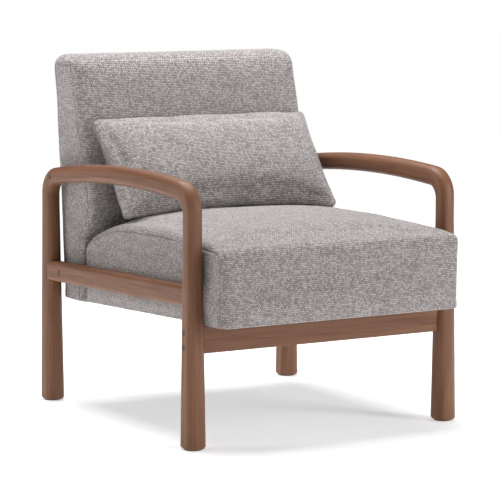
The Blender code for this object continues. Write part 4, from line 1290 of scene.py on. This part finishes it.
class ARMCHAIR_OT_hidden(bpy.types.Operator):
    """Give the parts inside the chair their own finishes"""

    bl_idname = "armchair.hidden"
    bl_label = "Inner Parts"

    def execute(self, context):
        slots = {"bolt": "steel", "dowel": "beech", "seat_board": "beech",
                 "seat_spring": "spring_steel", "back_panel": "plywood", "back_rail": "beech",
                 "back_board": "hardboard"}
        for name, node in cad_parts.items():
            if node.hide_render:
                continue
            for start, slot in slots.items():
                if name.startswith(start):
                    for k in range(len(node.material_slots)):
                        node.material_slots[k].material = MATERIALS[slot]
        return {"FINISHED"}


# ---------------------------------------------------------------------------- stage


def add_light(name, place, target, size, power, colour=(1.0, 1.0, 1.0)):
    put_down()
    bpy.ops.object.light_add(type="AREA", location=place)
    light = bpy.context.object
    light.name = name
    light.rotation_mode = "QUATERNION"
    light.rotation_quaternion = (Vector(target) - Vector(place)).to_track_quat("-Z", "Y")
    light.data.shape = "RECTANGLE"
    light.data.size = size[0]
    light.data.size_y = size[1]
    light.data.energy = power
    light.data.color = colour
    return light


class ARMCHAIR_OT_stage(bpy.types.Operator):
    """Set the floor, the soft lights and the camera"""

    bl_idname = "armchair.stage"
    bl_label = "Stage"

    def execute(self, context):
        tint = context.scene.armchair_colours
        put_down()
        bpy.ops.mesh.primitive_plane_add(size=160.0, location=(0.0, 0.0, 0.0))
        floor = name_piece("floor")
        paint = bpy.data.materials.new("floor")
        paint.use_nodes = True
        shader = paint.node_tree.nodes["Principled BSDF"]
        shader.inputs["Base Color"].default_value = opaque(tint.floor)
        shader.inputs["Roughness"].default_value = 0.9
        shader.inputs["Specular IOR Level"].default_value = 0.1
        # Painted light: the floor glows white. Its glow is weaker near the chair, which paints shade round it,
        # and stronger far off, which keeps the floor white.
        shader.inputs["Emission Color"].default_value = (1.0, 1.0, 1.0, 1.0)
        glow = paint.node_tree
        spot = glow.nodes.new("ShaderNodeTexCoord")
        reach = glow.nodes.new("ShaderNodeVectorMath")
        reach.operation = "LENGTH"
        glow.links.new(spot.outputs["Object"], reach.inputs[0])
        shade = ramp_node(glow, reach.outputs["Value"], 0.6, 5.0, 0.48, 0.88)
        glow.links.new(shade, shader.inputs["Emission Strength"])
        floor.data.materials.append(paint)
        world = bpy.data.worlds.new("studio")
        world.use_nodes = True
        sky = world.node_tree
        ways = sky.nodes.new("ShaderNodeLightPath")
        strength = ramp_node(sky, ways.outputs["Is Camera Ray"], 0.0, 1.0, 0.14, 1.0)
        sky.nodes["Background"].inputs["Color"].default_value = (1.0, 1.0, 1.0, 1.0)
        sky.links.new(strength, sky.nodes["Background"].inputs["Strength"])
        context.scene.world = world
        add_light("left_light", (-3.0, 1.2, 1.2), LIGHT_TARGET, SIDE_LIGHT_SIZE, 0.70 * tint.side_light)
        add_light("right_light", (1.9, -2.8, 1.4), LIGHT_TARGET, SIDE_LIGHT_SIZE, 1.32 * tint.side_light)
        add_light("top_light", (0.0, 0.5, 2.6), LIGHT_TARGET, (2.0, 2.0), tint.top_light)
        azimuth = math.radians(CAMERA_AZIMUTH)
        pitch = math.radians(CAMERA_PITCH)
        level = math.cos(pitch)
        look = Vector((-math.sin(azimuth) * level, math.cos(azimuth) * level, -math.sin(pitch)))
        put_down()
        bpy.ops.object.camera_add(location=CAMERA_PLACE)
        camera = bpy.context.object
        camera.name = "camera"
        camera.rotation_mode = "QUATERNION"
        camera.rotation_quaternion = look.to_track_quat("-Z", "Y")
        camera.data.sensor_width = 36.0
        camera.data.lens = CAMERA_LENS
        camera.data.clip_end = 200.0
        context.scene.camera = camera
        context.scene.view_settings.view_transform = "Standard"
        return {"FINISHED"}


# ---------------------------------------------------------------------------- panel and run


STEPS = (
    ARMCHAIR_OT_legs, ARMCHAIR_OT_arms, ARMCHAIR_OT_rails, ARMCHAIR_OT_plugs, ARMCHAIR_OT_glides,
    ARMCHAIR_OT_seat, ARMCHAIR_OT_dust_cloth, ARMCHAIR_OT_back, ARMCHAIR_OT_pillow, ARMCHAIR_OT_zip,
    ARMCHAIR_OT_hidden, ARMCHAIR_OT_stage,
)


class ARMCHAIR_PT_sidebar(bpy.types.Panel):
    """Lists the armchair's sizes, colours and building steps"""

    bl_label = "Armchair"
    bl_idname = "ARMCHAIR_PT_sidebar"
    bl_space_type = "VIEW_3D"
    bl_region_type = "UI"
    bl_category = "Armchair"

    def draw(self, context):
        scene = context.scene
        for group in (scene.armchair_frame, scene.armchair_padding, scene.armchair_colours):
            box = self.layout.box()
            for key in group.__annotations__:
                box.prop(group, key)
        for step in STEPS:
            self.layout.operator(step.bl_idname)


GROUPS = (
    ("armchair_frame", ArmchairFrame), ("armchair_padding", ArmchairPadding),
    ("armchair_colours", ArmchairColours),
)
MATERIALS = {}


def register():
    for name, group in GROUPS:
        bpy.utils.register_class(group)
        setattr(bpy.types.Scene, name, PointerProperty(type=group))
    for step in STEPS:
        bpy.utils.register_class(step)
    bpy.utils.register_class(ARMCHAIR_PT_sidebar)


def unregister():
    bpy.utils.unregister_class(ARMCHAIR_PT_sidebar)
    for step in reversed(STEPS):
        bpy.utils.unregister_class(step)
    for name, group in reversed(GROUPS):
        delattr(bpy.types.Scene, name)
        bpy.utils.unregister_class(group)


def main():
    register()
    MATERIALS.update(mix_materials())
    mix_plain_materials(MATERIALS)
    bpy.ops.armchair.legs()
    bpy.ops.armchair.arms()
    bpy.ops.armchair.rails()
    bpy.ops.armchair.plugs()
    bpy.ops.armchair.glides()
    bpy.ops.armchair.seat()
    bpy.ops.armchair.dust_cloth()
    bpy.ops.armchair.back()
    bpy.ops.armchair.pillow()
    bpy.ops.armchair.zip()
    bpy.ops.armchair.hidden()
    bpy.ops.armchair.stage()


if __name__ == "__main__":
    main()
